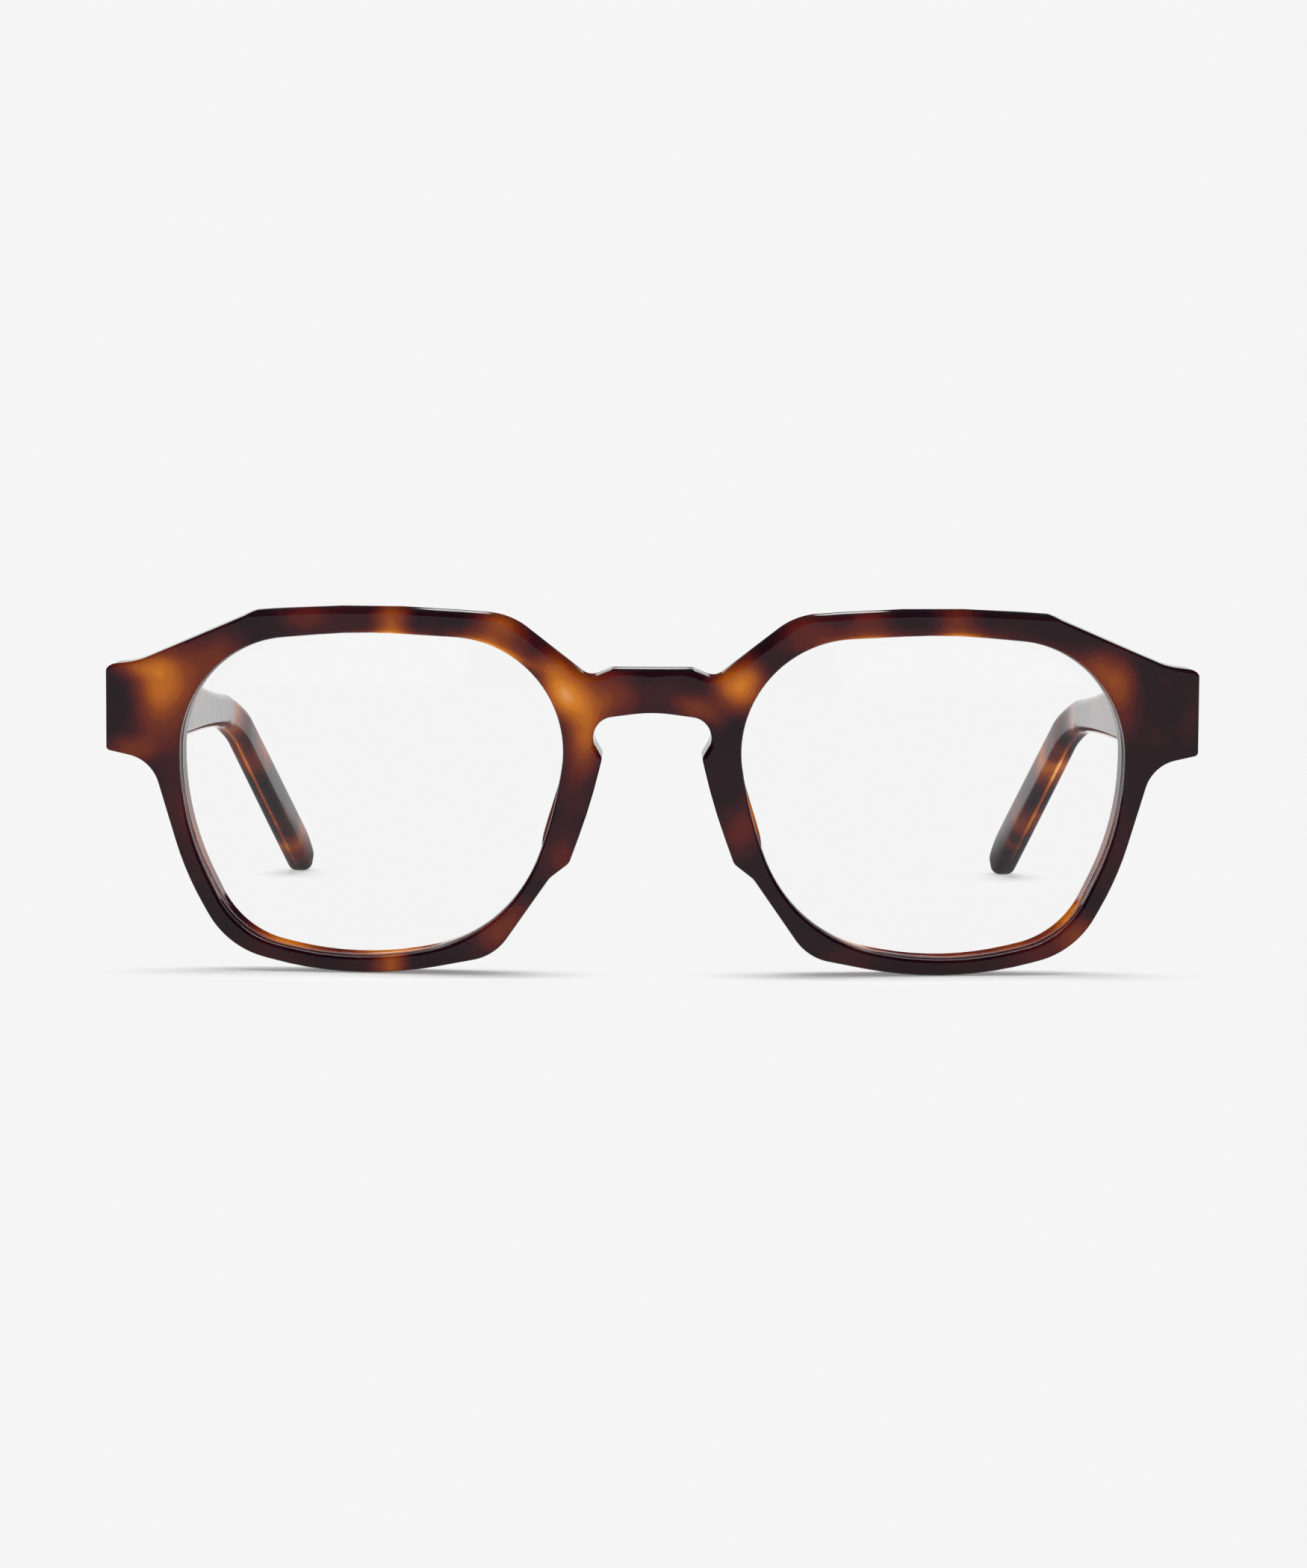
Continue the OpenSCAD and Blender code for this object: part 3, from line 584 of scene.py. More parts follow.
def ground_edge_highlight():
    """The fine ground corner of a lens; its pale grey is partly a painted highlight of light caught in the
    lens edge.
    """
    mat, tree = new_material("ground_edge_highlight")
    fine = noise(tree, own_place(tree), 150.0, 3.0)
    show(tree, value(tree, "ShaderNodeBsdfPrincipled", {
        "Base Color": ramp(tree, fine, [(0.3, (0.22, 0.20, 0.21)), (0.7, (0.60, 0.58, 0.60))], "LINEAR"),
        "Roughness": remap(tree, fine, 0, 1, 0.25, 0.5), "Normal": bumped(tree, fine, 0.2, 0.00001)}))
    return mat


# Front

# Polished edge of the outline, its reach over the face: at the sides, what is taken off where it faces
# up and added where the brow slopes; on the bridge bar its mean and swell, which repeats across the bar
EDGE, EDGE_UP, EDGE_SLOPE = 0.42, 0.04, 0.3
BAR_EDGE, BAR_SWELL, BAR_REPEAT = 0.50, 0.13, 6.0
# Its reach down the wall: at the sides, on the flats of the brow and on its slopes
DEEP_SIDE, DEEP_FLAT, DEEP_SLOPE = 0.6, 2.2, 5.1
# Half the width of the flats, and how far out on the front their middles lie
FLAT_HALF, FLAT_X = 7.0, 26.0
# Roundings at the rear of the outline and at the two ends of a lens opening
REAR_R, OPENING_FACE_R, OPENING_REAR_R = 0.36, 0.55, 0.45
# The temple's flat seat on an end piece: it starts this far inside the hinge, and is raised a little
SEAT_IN, SEAT_RAISED = 1.5, 0.05
# The middle strip of the wall shades as if it leant back, without any shape, so that it mirrors the
# pale wall behind: the lean, and how much of it each ring has, by its share of the way to the rear
WALL_LEAN = 0.06
WALL_RINGS = [(0.25, 0.0), (0.45, 0.9), (0.60, 1.0), (0.75, 0.9), (0.95, 0.0)]
# Shading of the groove's slopes: how much of it faces out of the rim and how much along the lens
SLOPE_OUT, SLOPE_ALONG = 0.88, 0.48
# Distance between the points that fill a face
FILL = 1.7


def rounding(steps):
    """Angles from the face to the wall of a quarter round."""
    return [math.radians(90) * k / steps for k in range(steps + 1)]


def rear_at(x):
    """How far the rear lies behind the face at x; on the end pieces it is the flat seat."""
    seat = FACE_CURVE - (FACE_CURVE - SEAT_Y + SEAT_RAISED) / np.cos(np.arcsin(x / FACE_CURVE))
    return np.where(np.abs(x) > HINGE_X - SEAT_IN, np.minimum(FRONT_T, seat), FRONT_T)


def edge_sizes(upward):
    """How far the polished edge reaches over the face and down the wall, and how much the wall seems to
    lean. The edge is a part of an ellipse, low and deep where it faces up."""
    (x, z), nz = OUT_P.T, OUT_N[:, 1]
    bar = (z > BAR_TOP - 1.8) & (np.abs(x) < BAR_W / 2 + 2.6)
    over = EDGE - EDGE_UP * upward + EDGE_SLOPE * upward * np.clip((0.96 - nz) / 0.1, 0, 1)
    over = np.where(bar, BAR_EDGE + BAR_SWELL * np.cos(x * 2 * math.pi / BAR_REPEAT), over)
    width = gentle(np.minimum(over, 0.86 * OUT_R), OUT_P)
    flat = (np.abs(np.abs(x) - FLAT_X) < FLAT_HALF) | bar
    deep = gentle(np.where(upward > 0, np.where(flat, DEEP_FLAT, DEEP_SLOPE), DEEP_SIDE), OUT_P, 0.8)
    lean = gentle(np.where(flat & (upward > 0.5), WALL_LEAN, 0.0), OUT_P, 0.012)
    return width, np.maximum(deep, width), lean


def outline_wall(s):
    """The face's rounding, the wall and the rear's rounding along the outline. Returns the face's and
    the rear's ring, each with its place on the sheet."""
    (x, z), (nx, nz) = OUT_P.T, OUT_N.T
    upward = np.clip((nz - 0.3) / 0.5, 0, 1)
    width, deep, lean = edge_sizes(upward)
    back, rear_r = rear_at(x), np.minimum(REAR_R, width)
    turn = np.arcsin(x / FACE_CURVE)
    out = np.stack([nx * np.cos(turn), nx * np.sin(turn), nz], -1)
    ahead = np.stack([np.sin(turn), -np.cos(turn), 0 * x], -1)
    rings, norms = [], []

    def add(inset, w, normals):
        rings.append(bent(x - nx * inset, z - nz * inset, w))
        norms.append(normals)

    for t in rounding(9):
        add(width * (1 - math.sin(t)), deep * (1 - math.cos(t)),
            out * (deep * math.sin(t))[:, None] + ahead * (width * math.cos(t))[:, None])
    for share, part in WALL_RINGS:
        add(0 * x, deep + (back - rear_r - deep) * share, out - ahead * (lean * part)[:, None])
    for t in reversed(rounding(5)):
        add(rear_r * (1 - math.sin(t)), back - rear_r * (1 - math.cos(t)),
            (out * math.sin(t) - ahead * math.cos(t)) * rear_r[:, None])
    # Upward edges meet the face in a clean line
    crisp = (upward > 0.05)[:, None]
    norms[:3] = [np.where(crisp, norms[3], n) for n in norms[:3]]
    ids = [s.ring(r) for r in rings]
    for k in range(len(ids) - 1):
        s.strip(ids[k], ids[k + 1], norms[k], norms[k + 1], flip=True)
    return (ids[0], (x - nx * width, z - nz * width)), (ids[-1], (x - nx * rear_r, z - nz * rear_r))


def fill_side(s, rings, w, sign):
    """Fills the face (sign -1) or the rear (sign 1) between the outline and both openings."""
    loops = [np.stack(place, -1) for _, place in rings]
    grid, tris = filled(loops[0], loops[1:], FILL)
    x, z = grid.T

    def normals_at(p):
        if sign > 0 and abs(p[:, 0].mean()) > HINGE_X - 1:
            return np.tile([0.0, 1.0, 0.0], (3, 1))
        a = np.arcsin(p[:, 0] / (FACE_CURVE - w))
        return np.stack([-sign * np.sin(a), sign * np.cos(a), 0 * a], -1)
    s.fill([ids for ids, _ in rings], bent(x, z, rear_at(x) if sign > 0 else 0 * x), tris, sign, normals_at)


def make_front():
    s = Surface()
    face, rear = outline_wall(s)
    face_rings, rear_rings = [face], [rear]
    for side in (1, -1):
        face, rear = opening_walls(s, side)
        face_rings.append(face)
        rear_rings.append(rear)
    fill_side(s, face_rings, 0.0, -1)
    fill_side(s, rear_rings, FRONT_T, 1)
    return s.build("front_acetate", stand)


def opening_walls(s, side):
    """The rounded edges, walls and lens groove of one opening. Returns its face's and rear's ring, each
    with its place on the sheet."""
    nx, nz = OPEN_N.T
    inward = np.stack([-nx, 0 * nx, -nz], -1)
    rows = []

    def add(d, w, t, facing):
        """A ring d outside the opening's line and w behind the face; its normals turn from facing the
        front (or the rear) towards the middle by t."""
        x, z = (OPEN_P + OPEN_N * d).T
        a = np.arcsin(x / (FACE_CURVE - w))
        ahead = np.stack([np.sin(a), -np.cos(a), 0 * a], -1)
        normals = inward * math.sin(t) + ahead * facing * math.cos(t)
        rows.append((np.stack([x, skin_y(x, w), z], -1), normals))

    for t in rounding(5):
        add(OPENING_FACE_R * (1 - math.sin(t)), OPENING_FACE_R * (1 - math.cos(t)), t, 1)
    first_lip = len(rows)
    groove = LENS_T / 2
    for d, t in ((0.0, groove - GROOVE_HALF), (GROOVE_DEPTH, groove), (0.0, groove + GROOVE_HALF)):
        rows.append((lens_ring(d, t), inward))
    for t in reversed(rounding(4)):
        add(OPENING_REAR_R * (1 - math.sin(t)), FRONT_T - OPENING_REAR_R * (1 - math.cos(t)), t, -1)
    mirror = [side, 1, 1]
    placed = [(turned(pos, LENS_TURN) * mirror + [0, 0, LENS_Z], turned_dir(nrm, LENS_TURN) * mirror)
              for pos, nrm in rows]
    ids = [s.ring(pos) for pos, _ in placed]
    along_lens = turned_dir(np.array([0.0, 1.0, 0.0]), LENS_TURN) * mirror
    for k in range(len(ids) - 1):
        na, nb = placed[k][1], placed[k + 1][1]
        if k in (first_lip, first_lip + 1):
            facing = 1 if k == first_lip else -1
            na = nb = na * SLOPE_OUT + along_lens * SLOPE_ALONG * facing
        s.strip(ids[k], ids[k + 1], na, nb, flip=side < 0)

    def ring(k, w):
        v = placed[k][0]
        return ids[k], (FACE_CURVE * v[:, 0] / (FACE_CURVE - w), v[:, 2])
    return ring(0, 0.0), ring(-1, FRONT_T)


# Lenses

# The edge of a lens in its groove: how far the ground corner lies inside and outside the rim's line,
# and how far out the bevel starts
CORNER_IN, CORNER_OUT, BEVEL_OUT = 0.10, 0.12, 0.25
# Shading of the bevel: how much of it faces out and how much along the lens
BEVEL_FACING, BEVEL_ALONG = 0.9, 0.4


def make_lens(side, name):
    s = Surface()
    ids = [s.ring(lens_ring(d, t)) for d, t in (
        (-CORNER_IN, 0.0), (CORNER_OUT, 0.0), (BEVEL_OUT, 0.0),
        (GROOVE_DEPTH - LENS_PLAY, LENS_T / 2), (BEVEL_OUT, LENS_T))]
    nx, nz = OPEN_N.T
    out, back = np.stack([nx, 0 * nx, nz], -1) * BEVEL_FACING, np.array([0.0, 1.0, 0.0])
    facing = [0 * out - back, 0 * out - back, out - back * BEVEL_ALONG, out + back * BEVEL_ALONG]
    for k, normals in enumerate(facing):
        s.strip(ids[k], ids[k + 1], normals, normals, flip=True)
    grid, tris = filled(OPEN_P - OPEN_N * CORNER_IN, [], FILL)
    x, z = grid.T
    for t, rim, sign in ((0.0, ids[0], -1), (LENS_T, ids[-1], 1)):
        def normals_at(p):
            to_centre = np.array([0.0, CROWN_SET + LENS_CURVE, 0.0]) - p
            return to_centre / np.linalg.norm(to_centre, axis=1, keepdims=True) * sign
        s.fill([rim], np.stack([x, lens_y(x, z, t), z], -1), tris, sign, normals_at)

    def place(v, direction):
        v = turned_dir(v, LENS_TURN) if direction else turned(v, LENS_TURN) + [0, 0, LENS_Z]
        return stand(v, direction)
    obj = s.build(name, place, side)
    # The first strip is the ground corner of the edge, a thin pale line just inside the rim: partly the
    # ground glass, partly a painted highlight of light caught in the lens edge
    obj.data.polygons.foreach_set("material_index", [int(k < len(nx)) for k in range(len(s.faces))])
    return obj


# Nose pads

# Cross-section of a pad, from the front's rear face backwards, in shares of its width and depth
PAD_SECTION = [[0, 0], [0.5, 0], [1, 0], [1, 0.35], [0.9, 0.7], [0.78, 0.92], [0.6, 1.0], [0.42, 0.95],
               [0.22, 0.75], [0.06, 0.4]]
# The outline's corners that a pad runs along, how far it passes them, and how deep it is sunk
PAD_FOOT, PAD_HEAD = LENS_Z - 8.6, LENS_Z + 5.3
PAD_PAST_FOOT, PAD_PAST_HEAD, PAD_INSET, PAD_SUNK = 0.6, 0.5, 0.25, 0.5


def make_pad(side, name):
    low, top = PAD_FOOT - PAD_PAST_FOOT, PAD_HEAD + PAD_PAST_HEAD
    steps, rings = 22, []
    for i in range(steps + 1):
        t = 0.5 - 0.5 * math.cos(math.pi * i / steps)
        z = low + (top - low) * t
        u = (z - PAD_FOOT) / (PAD_HEAD - PAD_FOOT)
        x = (PAD_FLARE + (PAD_GAP - PAD_FLARE) * u) / 2 - 0.9 * u * (1 - u) + PAD_INSET
        swell = math.sqrt(max(1 - (2 * t - 1) ** 4, 0))
        deep, wide = PAD_SUNK + PAD_DEPTH * swell, PAD_W * (0.35 + 0.65 * swell)
        y = float(skin_y(x, FRONT_T)) - PAD_SUNK
        rings.append([[x + a * wide, y + b * deep, z] for a, b in PAD_SECTION])
    obj = tube(name, rings, side)
    obj.modifiers.new("round", "SUBSURF").levels = 2
    obj.modifiers["round"].render_levels = 2
    apply_modifiers(obj)
    return obj


def tube(name, rings, side):
    """A smooth closed tube through rings of as many points each, in the front's own frame."""
    n, m = len(rings), len(rings[0])
    verts = stand(np.array(rings).reshape(-1, 3)) * [side, 1, 1]
    faces = [[k * m + i, k * m + (i + 1) % m, (k + 1) * m + (i + 1) % m, (k + 1) * m + i]
             for k in range(n - 1) for i in range(m)]
    faces += [list(range(m))[::-1], [(n - 1) * m + i for i in range(m)]]
    return smooth_object(name, verts, faces)


def smooth_object(name, verts, faces):
    mesh = bpy.data.meshes.new(name)
    mesh.from_pydata((verts * MM).tolist(), [], faces)
    bm = bmesh.new()
    bm.from_mesh(mesh)
    bmesh.ops.recalc_face_normals(bm, faces=bm.faces)
    bm.to_mesh(mesh)
    bm.free()
    mesh.polygons.foreach_set("use_smooth", [True] * len(mesh.polygons))
    return linked(name, mesh)


def apply_modifiers(obj):
    """Makes the result of an object's modifiers its own mesh."""
    deps = bpy.context.evaluated_depsgraph_get()
    mesh = bpy.data.meshes.new_from_object(obj.evaluated_get(deps))
    obj.modifiers.clear()
    obj.data = mesh


# Temples

def ease(t):
    """0 to 1 with a soft start and end."""
    c = min(max(t, 0), 1)
    return c * c * (3 - 2 * c)


TEMPLE_RUN = TEMPLE_LEN - DROP_LEN
SPADE_OFF = SPADE_H / 2 - SPADE_R
HINGE_FLOOR = END_Z * C_LEAN + HINGE_Y * S_LEAN - FLOOR_Z
BEND_FLOOR = HINGE_FLOOR - TEMPLE_RUN * math.sin(math.radians(TEMPLE_SLOPE - LEAN))
DROP_REACH = math.hypot(DROP_LEN - SPADE_R, SPADE_OFF)
DROP_SLOPE = (LEAN + math.degrees(math.asin((BEND_FLOOR - SPADE_R) / DROP_REACH))
              - math.degrees(math.atan2(SPADE_OFF, DROP_LEN - SPADE_R)))
BEND_TURN = DROP_SLOPE - TEMPLE_SLOPE
BEND_TAN = BEND_R * math.tan(math.radians(BEND_TURN / 2))
BEND_ARC = BEND_R * math.radians(BEND_TURN)
RUN_LEN = TEMPLE_RUN - BEND_TAN
SPINE_LEN = RUN_LEN + BEND_ARC + DROP_LEN - BEND_TAN


def side_at(s):
    """A temple's middle line s along it, back and down from the butt, as seen from the side."""
    a, b = math.radians(TEMPLE_SLOPE), math.radians(DROP_SLOPE)
    if s < RUN_LEN:
        return np.array([math.cos(a), math.sin(a)]) * s
    start = np.array([math.cos(a), math.sin(a)]) * RUN_LEN
    w = a + min(s - RUN_LEN, BEND_ARC) / BEND_R
    start = start + BEND_R * np.array([math.sin(w) - math.sin(a), math.cos(a) - math.cos(w)])
    return start + max(s - RUN_LEN - BEND_ARC, 0) * np.array([math.cos(b), math.sin(b)])


def spine_at(s, lift):
    """A point of a temple's middle line in the front's own frame; lift raises the tip."""
    toe, drop = math.tan(math.radians(TOE_IN)), math.tan(math.radians(DROP_LEAN))
    inward = s * toe + max(s - RUN_LEN, 0) * (drop - toe) * ease((s - RUN_LEN) / BEND_ARC)
    p = side_at(s)
    return np.array([HINGE_X + TEMPLE_T / 2 - inward, SEAT_Y + BUTT_GAP + p[0],
                     END_Z - p[1] + lift * s / SPINE_LEN])


def along(s, keys):
    """The value at s on a smooth curve through the (s, value) keys."""
    for (a, va), (b, vb) in zip(keys, keys[1:]):
        if s < b or b == keys[-1][0]:
            return va + (vb - va) * ease((s - a) / (b - a))


def round_end(s, length):
    """1 along a temple, falling to 0 at its tip as a quarter round of the given length."""
    x = min(max((s - (SPINE_LEN - length)) / length, 0), 1)
    return math.sqrt(1 - x * x)


# Half height of a temple along it
TEMPLE_HEIGHTS = [(0, BUTT_H / 2), (RUN_LEN, NECK_H / 2), (SPINE_LEN - TIP_CUT, SPADE_H / 2)]
# Length over which the section turns from the butt's square cut, and the rounding of the butt's rim
SQUARE_LEN, BUTT_ROUND, BUTT_ROUND_LEN = 20, 0.35, 0.6
# Tip: thickness of its last edge, length over which it thins, and how far its upper side comes down
TIP_EDGE, TIP_THIN_LEN, TIP_UPPER, TIP_DROP = 1.4, 1.2, 0.7, 0.29
# Points in each corner of a temple's section
CORNER_STEPS = 6


def unit(v):
    return v / np.linalg.norm(v)


def temple_ring(s, lift):
    """The section of a temple s along it: a rectangle with rounded corners."""
    mid = spine_at(s, lift)
    ahead = unit(spine_at(s + 0.05, lift) - spine_at(s - 0.05, lift))
    square = ease(s / SQUARE_LEN)
    across = unit(np.array([1, -ahead[0] / ahead[1] * square, 0]))
    up = unit(np.cross(across, unit(np.array([0, 1, 0]) * (1 - square) + ahead * square)))
    high = along(s, TEMPLE_HEIGHTS)
    above = (high * (1 - TIP_UPPER + TIP_UPPER * round_end(s, TIP_CUT))
             - TIP_DROP * SPADE_H / 2 * (1 - round_end(s, 1)))
    below = high - SPADE_R * (1 - round_end(s, SPADE_R))
    thick = TEMPLE_T + (TIP_SHOWN - TEMPLE_T) * ease(s / RUN_LEN)
    half = (thick - (TIP_SHOWN - TIP_EDGE) * (1 - round_end(s, TIP_THIN_LEN))) / 2
    mid = mid + across * TIP_OUT * ease(s / RUN_LEN)
    r = min(TEMPLE_EDGE, 0.9 * half, 0.9 * above, 0.9 * below)
    if s < BUTT_ROUND_LEN:
        inset = BUTT_ROUND * (1 - math.sqrt(max(0, 1 - (1 - s / BUTT_ROUND_LEN) ** 2)))
        above, below, half = above - inset, below - inset, half - inset
    ring = []
    for side, level, start in ((1, above, 0), (-1, above, 90), (-1, -below, 180), (1, -below, 270)):
        for j in range(CORNER_STEPS + 1):
            w = math.radians(start + 90 * j / CORNER_STEPS)
            ring.append(mid + across * (side * (half - r) + r * math.cos(w))
                        + up * (level - math.copysign(r, level) + r * math.sin(w)))
    return ring


def make_temple(side, name):
    bend_end, tip_start = RUN_LEN + BEND_ARC, SPINE_LEN - TIP_CUT
    steps = [0.0, 0.08, 0.2, 0.38, 0.6, 1.0, *np.linspace(2, RUN_LEN, 60),
             *(RUN_LEN + np.linspace(1 / 16, 1, 16) * BEND_ARC),
             *np.linspace(bend_end + 1.2, tip_start - 0.5, 20),
             *(SPINE_LEN - TIP_CUT * math.cos(math.radians(a)) for a in np.linspace(0, 89.4, 26))]
    # The tip is lifted until it stands on the floor
    tip = [s for s in steps if s > SPINE_LEN - 2 * TIP_CUT]
    low = min(p[2] * C_LEAN + p[1] * S_LEAN for s in tip for p in temple_ring(s, 0.0))
    lift = (FLOOR_Z - low) / C_LEAN
    obj = tube(name, [temple_ring(s, lift) for s in steps], side)
    cut_knuckle(obj, side)
    return obj


def cut_knuckle(obj, side):
    """Room for the barrels, cut from the inner face at the butt."""
    half, room_r, inward = HINGE_H / 2 + KNUCKLE_ROOM, BARREL_R + KNUCKLE_ROOM, 3
    bpy.ops.mesh.primitive_cylinder_add(vertices=48, radius=room_r * MM, depth=2 * half * MM)
    tools = [bpy.context.object]
    boxes = [((-inward, SEAT_Y - HINGE_Y - 1, -half), (room_r, 0, half)),
             ((-inward, 0, -half), (TONGUE_X + TONGUE_T + TONGUE_PLAY, room_r + 0.5, half))]
    for low, high in boxes:
        bpy.ops.mesh.primitive_cube_add(size=1)
        tool = bpy.context.object
        low, high = np.array(low, float), np.array(high, float)
        tool.data.transform(Matrix.Translation(Vector((low + high) / 2 * MM))
                            @ Matrix.Diagonal((*((high - low) * MM), 1)))
        tools.append(tool)
    at = Matrix.Translation(Vector(stand(np.array([HINGE_X, HINGE_Y, END_Z])) * MM)) \
        @ Matrix.Rotation(math.radians(LEAN), 4, "X")
    for tool in tools:
        tool.data.transform(at)
        if side < 0:
            tool.data.transform(Matrix.Diagonal((-1, 1, 1, 1)))
            tool.data.flip_normals()
        cut = obj.modifiers.new("cut", "BOOLEAN")
        cut.operation = "DIFFERENCE"
        cut.solver = "EXACT"
        cut.object = tool
    apply_modifiers(obj)
    for tool in tools:
        bpy.data.objects.remove(tool)
    obj.data.polygons.foreach_set("use_smooth", [True] * len(obj.data.polygons))
    obj.data.set_sharp_from_angle(angle=math.radians(32))


# Pieces

havana_front = acetate("havana_front", front_field)
glass, ground = lens_material(), ground_edge_highlight()
nickel = metal("satin_nickel", (0.66, 0.64, 0.60), 0.26, 1.2)
bright = metal("bright_steel", (0.74, 0.74, 0.75), 0.14, 2.0)
wire = metal("drawn_wire", (0.62, 0.60, 0.57), 0.32, 1.6)


def dress(obj, mats, body, cad_node):
    """Gives a piece its materials and body; it shows in place of the CAD node."""
    parts = [p.material_index for p in obj.data.polygons]
    obj.data.materials.clear()
    for mat in mats:
        obj.data.materials.append(mat)
    obj.data.polygons.foreach_set("material_index", parts)
    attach(obj, body)
    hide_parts(cad_node)


def finish_metal(obj, mat, bevel):
    """Gives a CAD node its metal and, with a bevel in millimetres, fine edges."""
    if not obj.data.materials:
        obj.data.materials.append(mat)
    for k in range(len(obj.data.materials)):
        obj.data.materials[k] = mat
    if bevel:
        obj.modifiers.new("weld", "WELD").merge_threshold = 0.000002
        edges = obj.modifiers.new("edges", "BEVEL")
        edges.width = bevel * MM
        edges.segments = 2
        edges.limit_method = "ANGLE"
        edges.angle_limit = math.radians(50)


dress(make_front(), [havana_front], "front", "front")
for side, word in ((1, "left"), (-1, "right")):
    dress(make_lens(side, "clear_lens_" + word), [glass, ground], "front", "lens_" + word)
    dress(make_pad(side, "pad_" + word), [havana_front], "front", "nose_pad_" + word)
    havana = acetate("havana_temple_" + word, temple_field(word))
    temple = "temple_" + word
    dress(make_temple(side, "temple_acetate_" + word), [havana], temple, temple)
    for name, mat, bevel in (("hinge_front_", nickel, 0.1), ("hinge_temple_", nickel, 0.1),
                             ("hinge_screw_", bright, 0.06), ("core_wire_", wire, 0)):
        finish_metal(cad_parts[name + word], mat, bevel)

# Floor and light, in metres

PALE = 0.914
WHITE = (1, 1, 1, 1)
# Soft zones of the floor that take light and shadow, under the rims and the temple tips: x, y, half
# width, half depth and how much of the light they take. The rest of the floor shows one flat tone
ZONES = [(-0.0396, -0.0715, 0.036, 0.011, 0.75), (0.0392, -0.0715, 0.036, 0.011, 0.75),
         (-0.0500, 0.0735, 0.014, 0.016, 0.45), (0.0500, 0.0735, 0.014, 0.016, 0.45)]


def camera_or(tree, through):
    """1 for camera rays, and for rays through a lens as far as through says."""
    camera = node(tree, "ShaderNodeLightPath").outputs["Is Camera Ray"]
    return math_node(tree, "MAXIMUM", camera, through)


def pale_floor():
    mat, tree = new_material("pale_floor")
    own, path = own_place(tree), node(tree, "ShaderNodeLightPath")
    lit = value(tree, "ShaderNodeBsdfDiffuse", {"Color": (0.80, 0.80, 0.80, 1)})
    flat = value(tree, "ShaderNodeEmission", {"Color": (PALE, PALE, PALE, 1), "Strength": 1.0})
    share = 1.0
    for x, y, wide, far, most in ZONES:
        zone = soft_ball(tree, own, (x, y, 0), (0, 0, 0), (wide, far, 1))
        taken = remap(tree, zone, 0, 0.6, 0, most, "SMOOTHSTEP")
        share = math_node(tree, "SUBTRACT", share, taken, clamp=True)
    # Mirrored in the acetate, the floor shows set glowing tones instead of its lit colour, a painted
    # reflection for the sheen: darker under the frame and bright far behind it
    back = axis_of(tree, own, "Y")
    tone = remap(tree, back, -0.09, -0.05, 0.45, 0.26)
    tone = remap(tree, back, 0.09, 0.15, tone, 0.9)
    mirror = value(tree, "ShaderNodeEmission", {"Color": WHITE, "Strength": tone})
    unseen = mixed(tree, path.outputs["Is Glossy Ray"], lit, mirror)
    seen = camera_or(tree, path.outputs["Is Transmission Ray"])
    show(tree, mixed(tree, seen, unseen, mixed(tree, share, lit, flat)))
    return mat


def studio():
    """A dark room with a pale wall low down behind the glasses; the camera sees one pale tone."""
    world = bpy.data.worlds.new("studio")
    world.use_nodes = True
    tree = world.node_tree
    tree.nodes.clear()
    way = node(tree, "ShaderNodeTexCoord").outputs["Generated"]
    behind = remap(tree, axis_of(tree, way, "Y"), 0.70, 0.86, 0, 1, "SMOOTHSTEP")
    low_down = remap(tree, axis_of(tree, way, "Z"), 0.165, 0.13, 0, 1, "SMOOTHSTEP")
    wall = math_node(tree, "MULTIPLY", behind, low_down)
    tone = remap(tree, wall, 0, 1, 0.012, PALE)
    room = value(tree, "ShaderNodeBackground", {"Color": WHITE, "Strength": tone})
    plain = value(tree, "ShaderNodeBackground", {"Color": (PALE, PALE, PALE, 1), "Strength": 1.0})
    # Above the wall the room is dark, also where it shows through a lens
    above = math_node(tree, "SUBTRACT", behind, wall)
    through = node(tree, "ShaderNodeLightPath").outputs["Is Transmission Ray"]
    seen = camera_or(tree, math_node(tree, "SUBTRACT", through, above, clamp=True))
    show(tree, mixed(tree, seen, room, plain), "World")
    return world


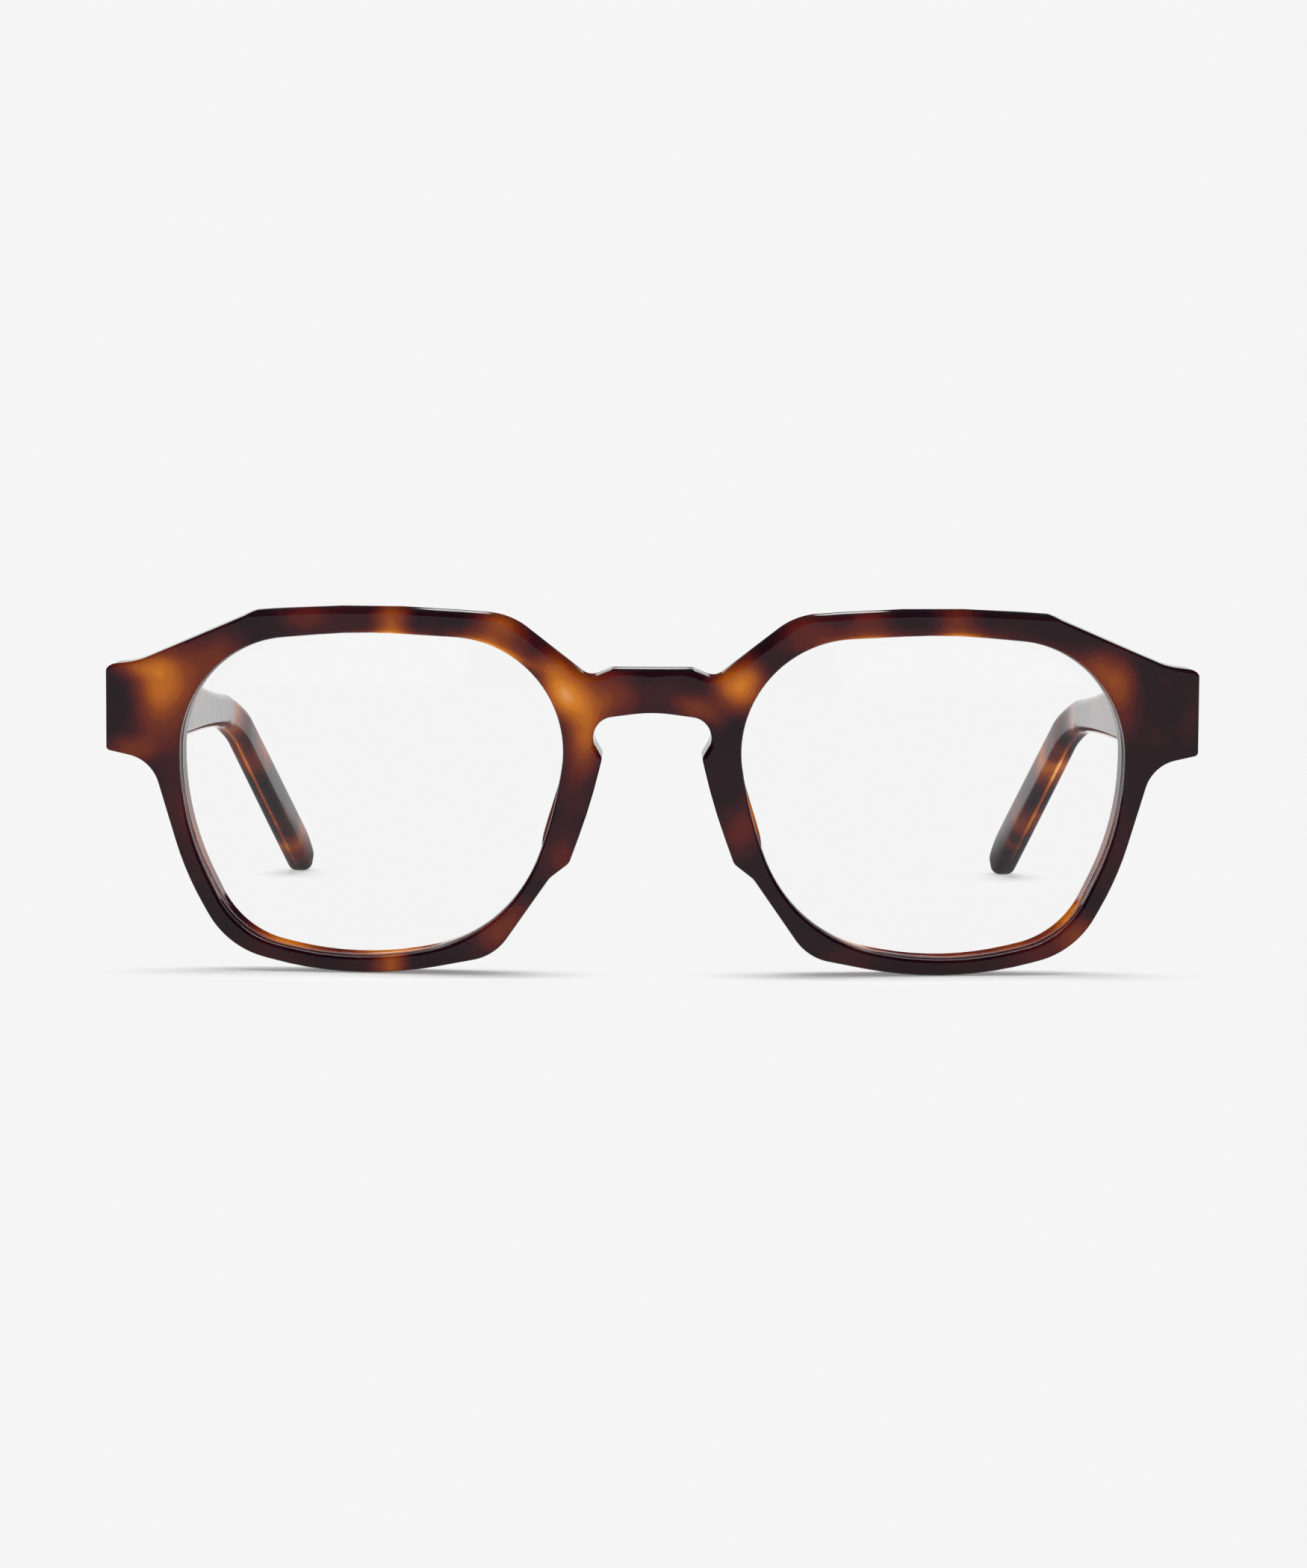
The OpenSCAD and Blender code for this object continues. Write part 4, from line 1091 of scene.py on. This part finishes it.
bpy.ops.mesh.primitive_plane_add(size=60)
floor = bpy.context.object
floor.name = "floor"
floor.data.materials.append(pale_floor())
bpy.context.scene.world = studio()


def sun(name, strength, spread, azimuth, elevation):
    """A broad, even light from far away. Azimuth 0 is behind the camera, 90 on the camera's right."""
    data = bpy.data.lights.new(name, "SUN")
    data.energy = strength
    data.angle = math.radians(spread)
    obj = linked(name, data)
    az, el = math.radians(azimuth), math.radians(elevation)
    toward = Vector((math.sin(az) * math.cos(el), -math.cos(az) * math.cos(el), math.sin(el)))
    obj.rotation_euler = toward.to_track_quat("Z", "Y").to_euler()
    obj.visible_glossy = False


sun("overhead", 1.75, 60, 0, 88)
sun("front_left", 0.85, 60, -35, 12)
sun("front_right", 0.85, 60, 35, 12)
strip = bpy.data.lights.new("strip", "AREA")
strip.shape, strip.size, strip.size_y, strip.energy = "RECTANGLE", 1.5, 0.12, 8.0
linked("strip", strip).location = (0, -0.05, 1.2)

# Camera: the photograph's place, 890 mm in front of the face and 96 mm above the floor

CAM_DISTANCE, CAM_HEIGHT, PITCH, ROLL = 890.0, 96.4, 4.574, 0.33
FOCAL_PX, FRAME_PX, AXIS_OFFSET_PX, SENSOR = 9193.7, 2100.0, 2.0, 36.0
cam_data = bpy.data.cameras.new("camera")
cam = linked("camera", cam_data)
bpy.context.scene.camera = cam
cam_data.sensor_width = SENSOR
cam_data.lens = FOCAL_PX / FRAME_PX * SENSOR
cam_data.shift_x = AXIS_OFFSET_PX / FRAME_PX
cam_data.clip_start, cam_data.clip_end = 0.05, 100.0
p, r = math.radians(PITCH), math.radians(ROLL)
right = Vector((1, 0, 0))
up, back = Vector((0, math.sin(p), math.cos(p))), Vector((0, -math.cos(p), math.sin(p)))
axes = (right * math.cos(r) + up * math.sin(r), up * math.cos(r) - right * math.sin(r), back)
cam.matrix_world = Matrix.Translation(Vector((0, -(CAM_DISTANCE + MIDDLE_Y) * MM, CAM_HEIGHT * MM))) \
    @ Matrix([[*row] for row in zip(*axes)]).to_4x4()

bpy.context.scene.view_settings.view_transform = "Standard"
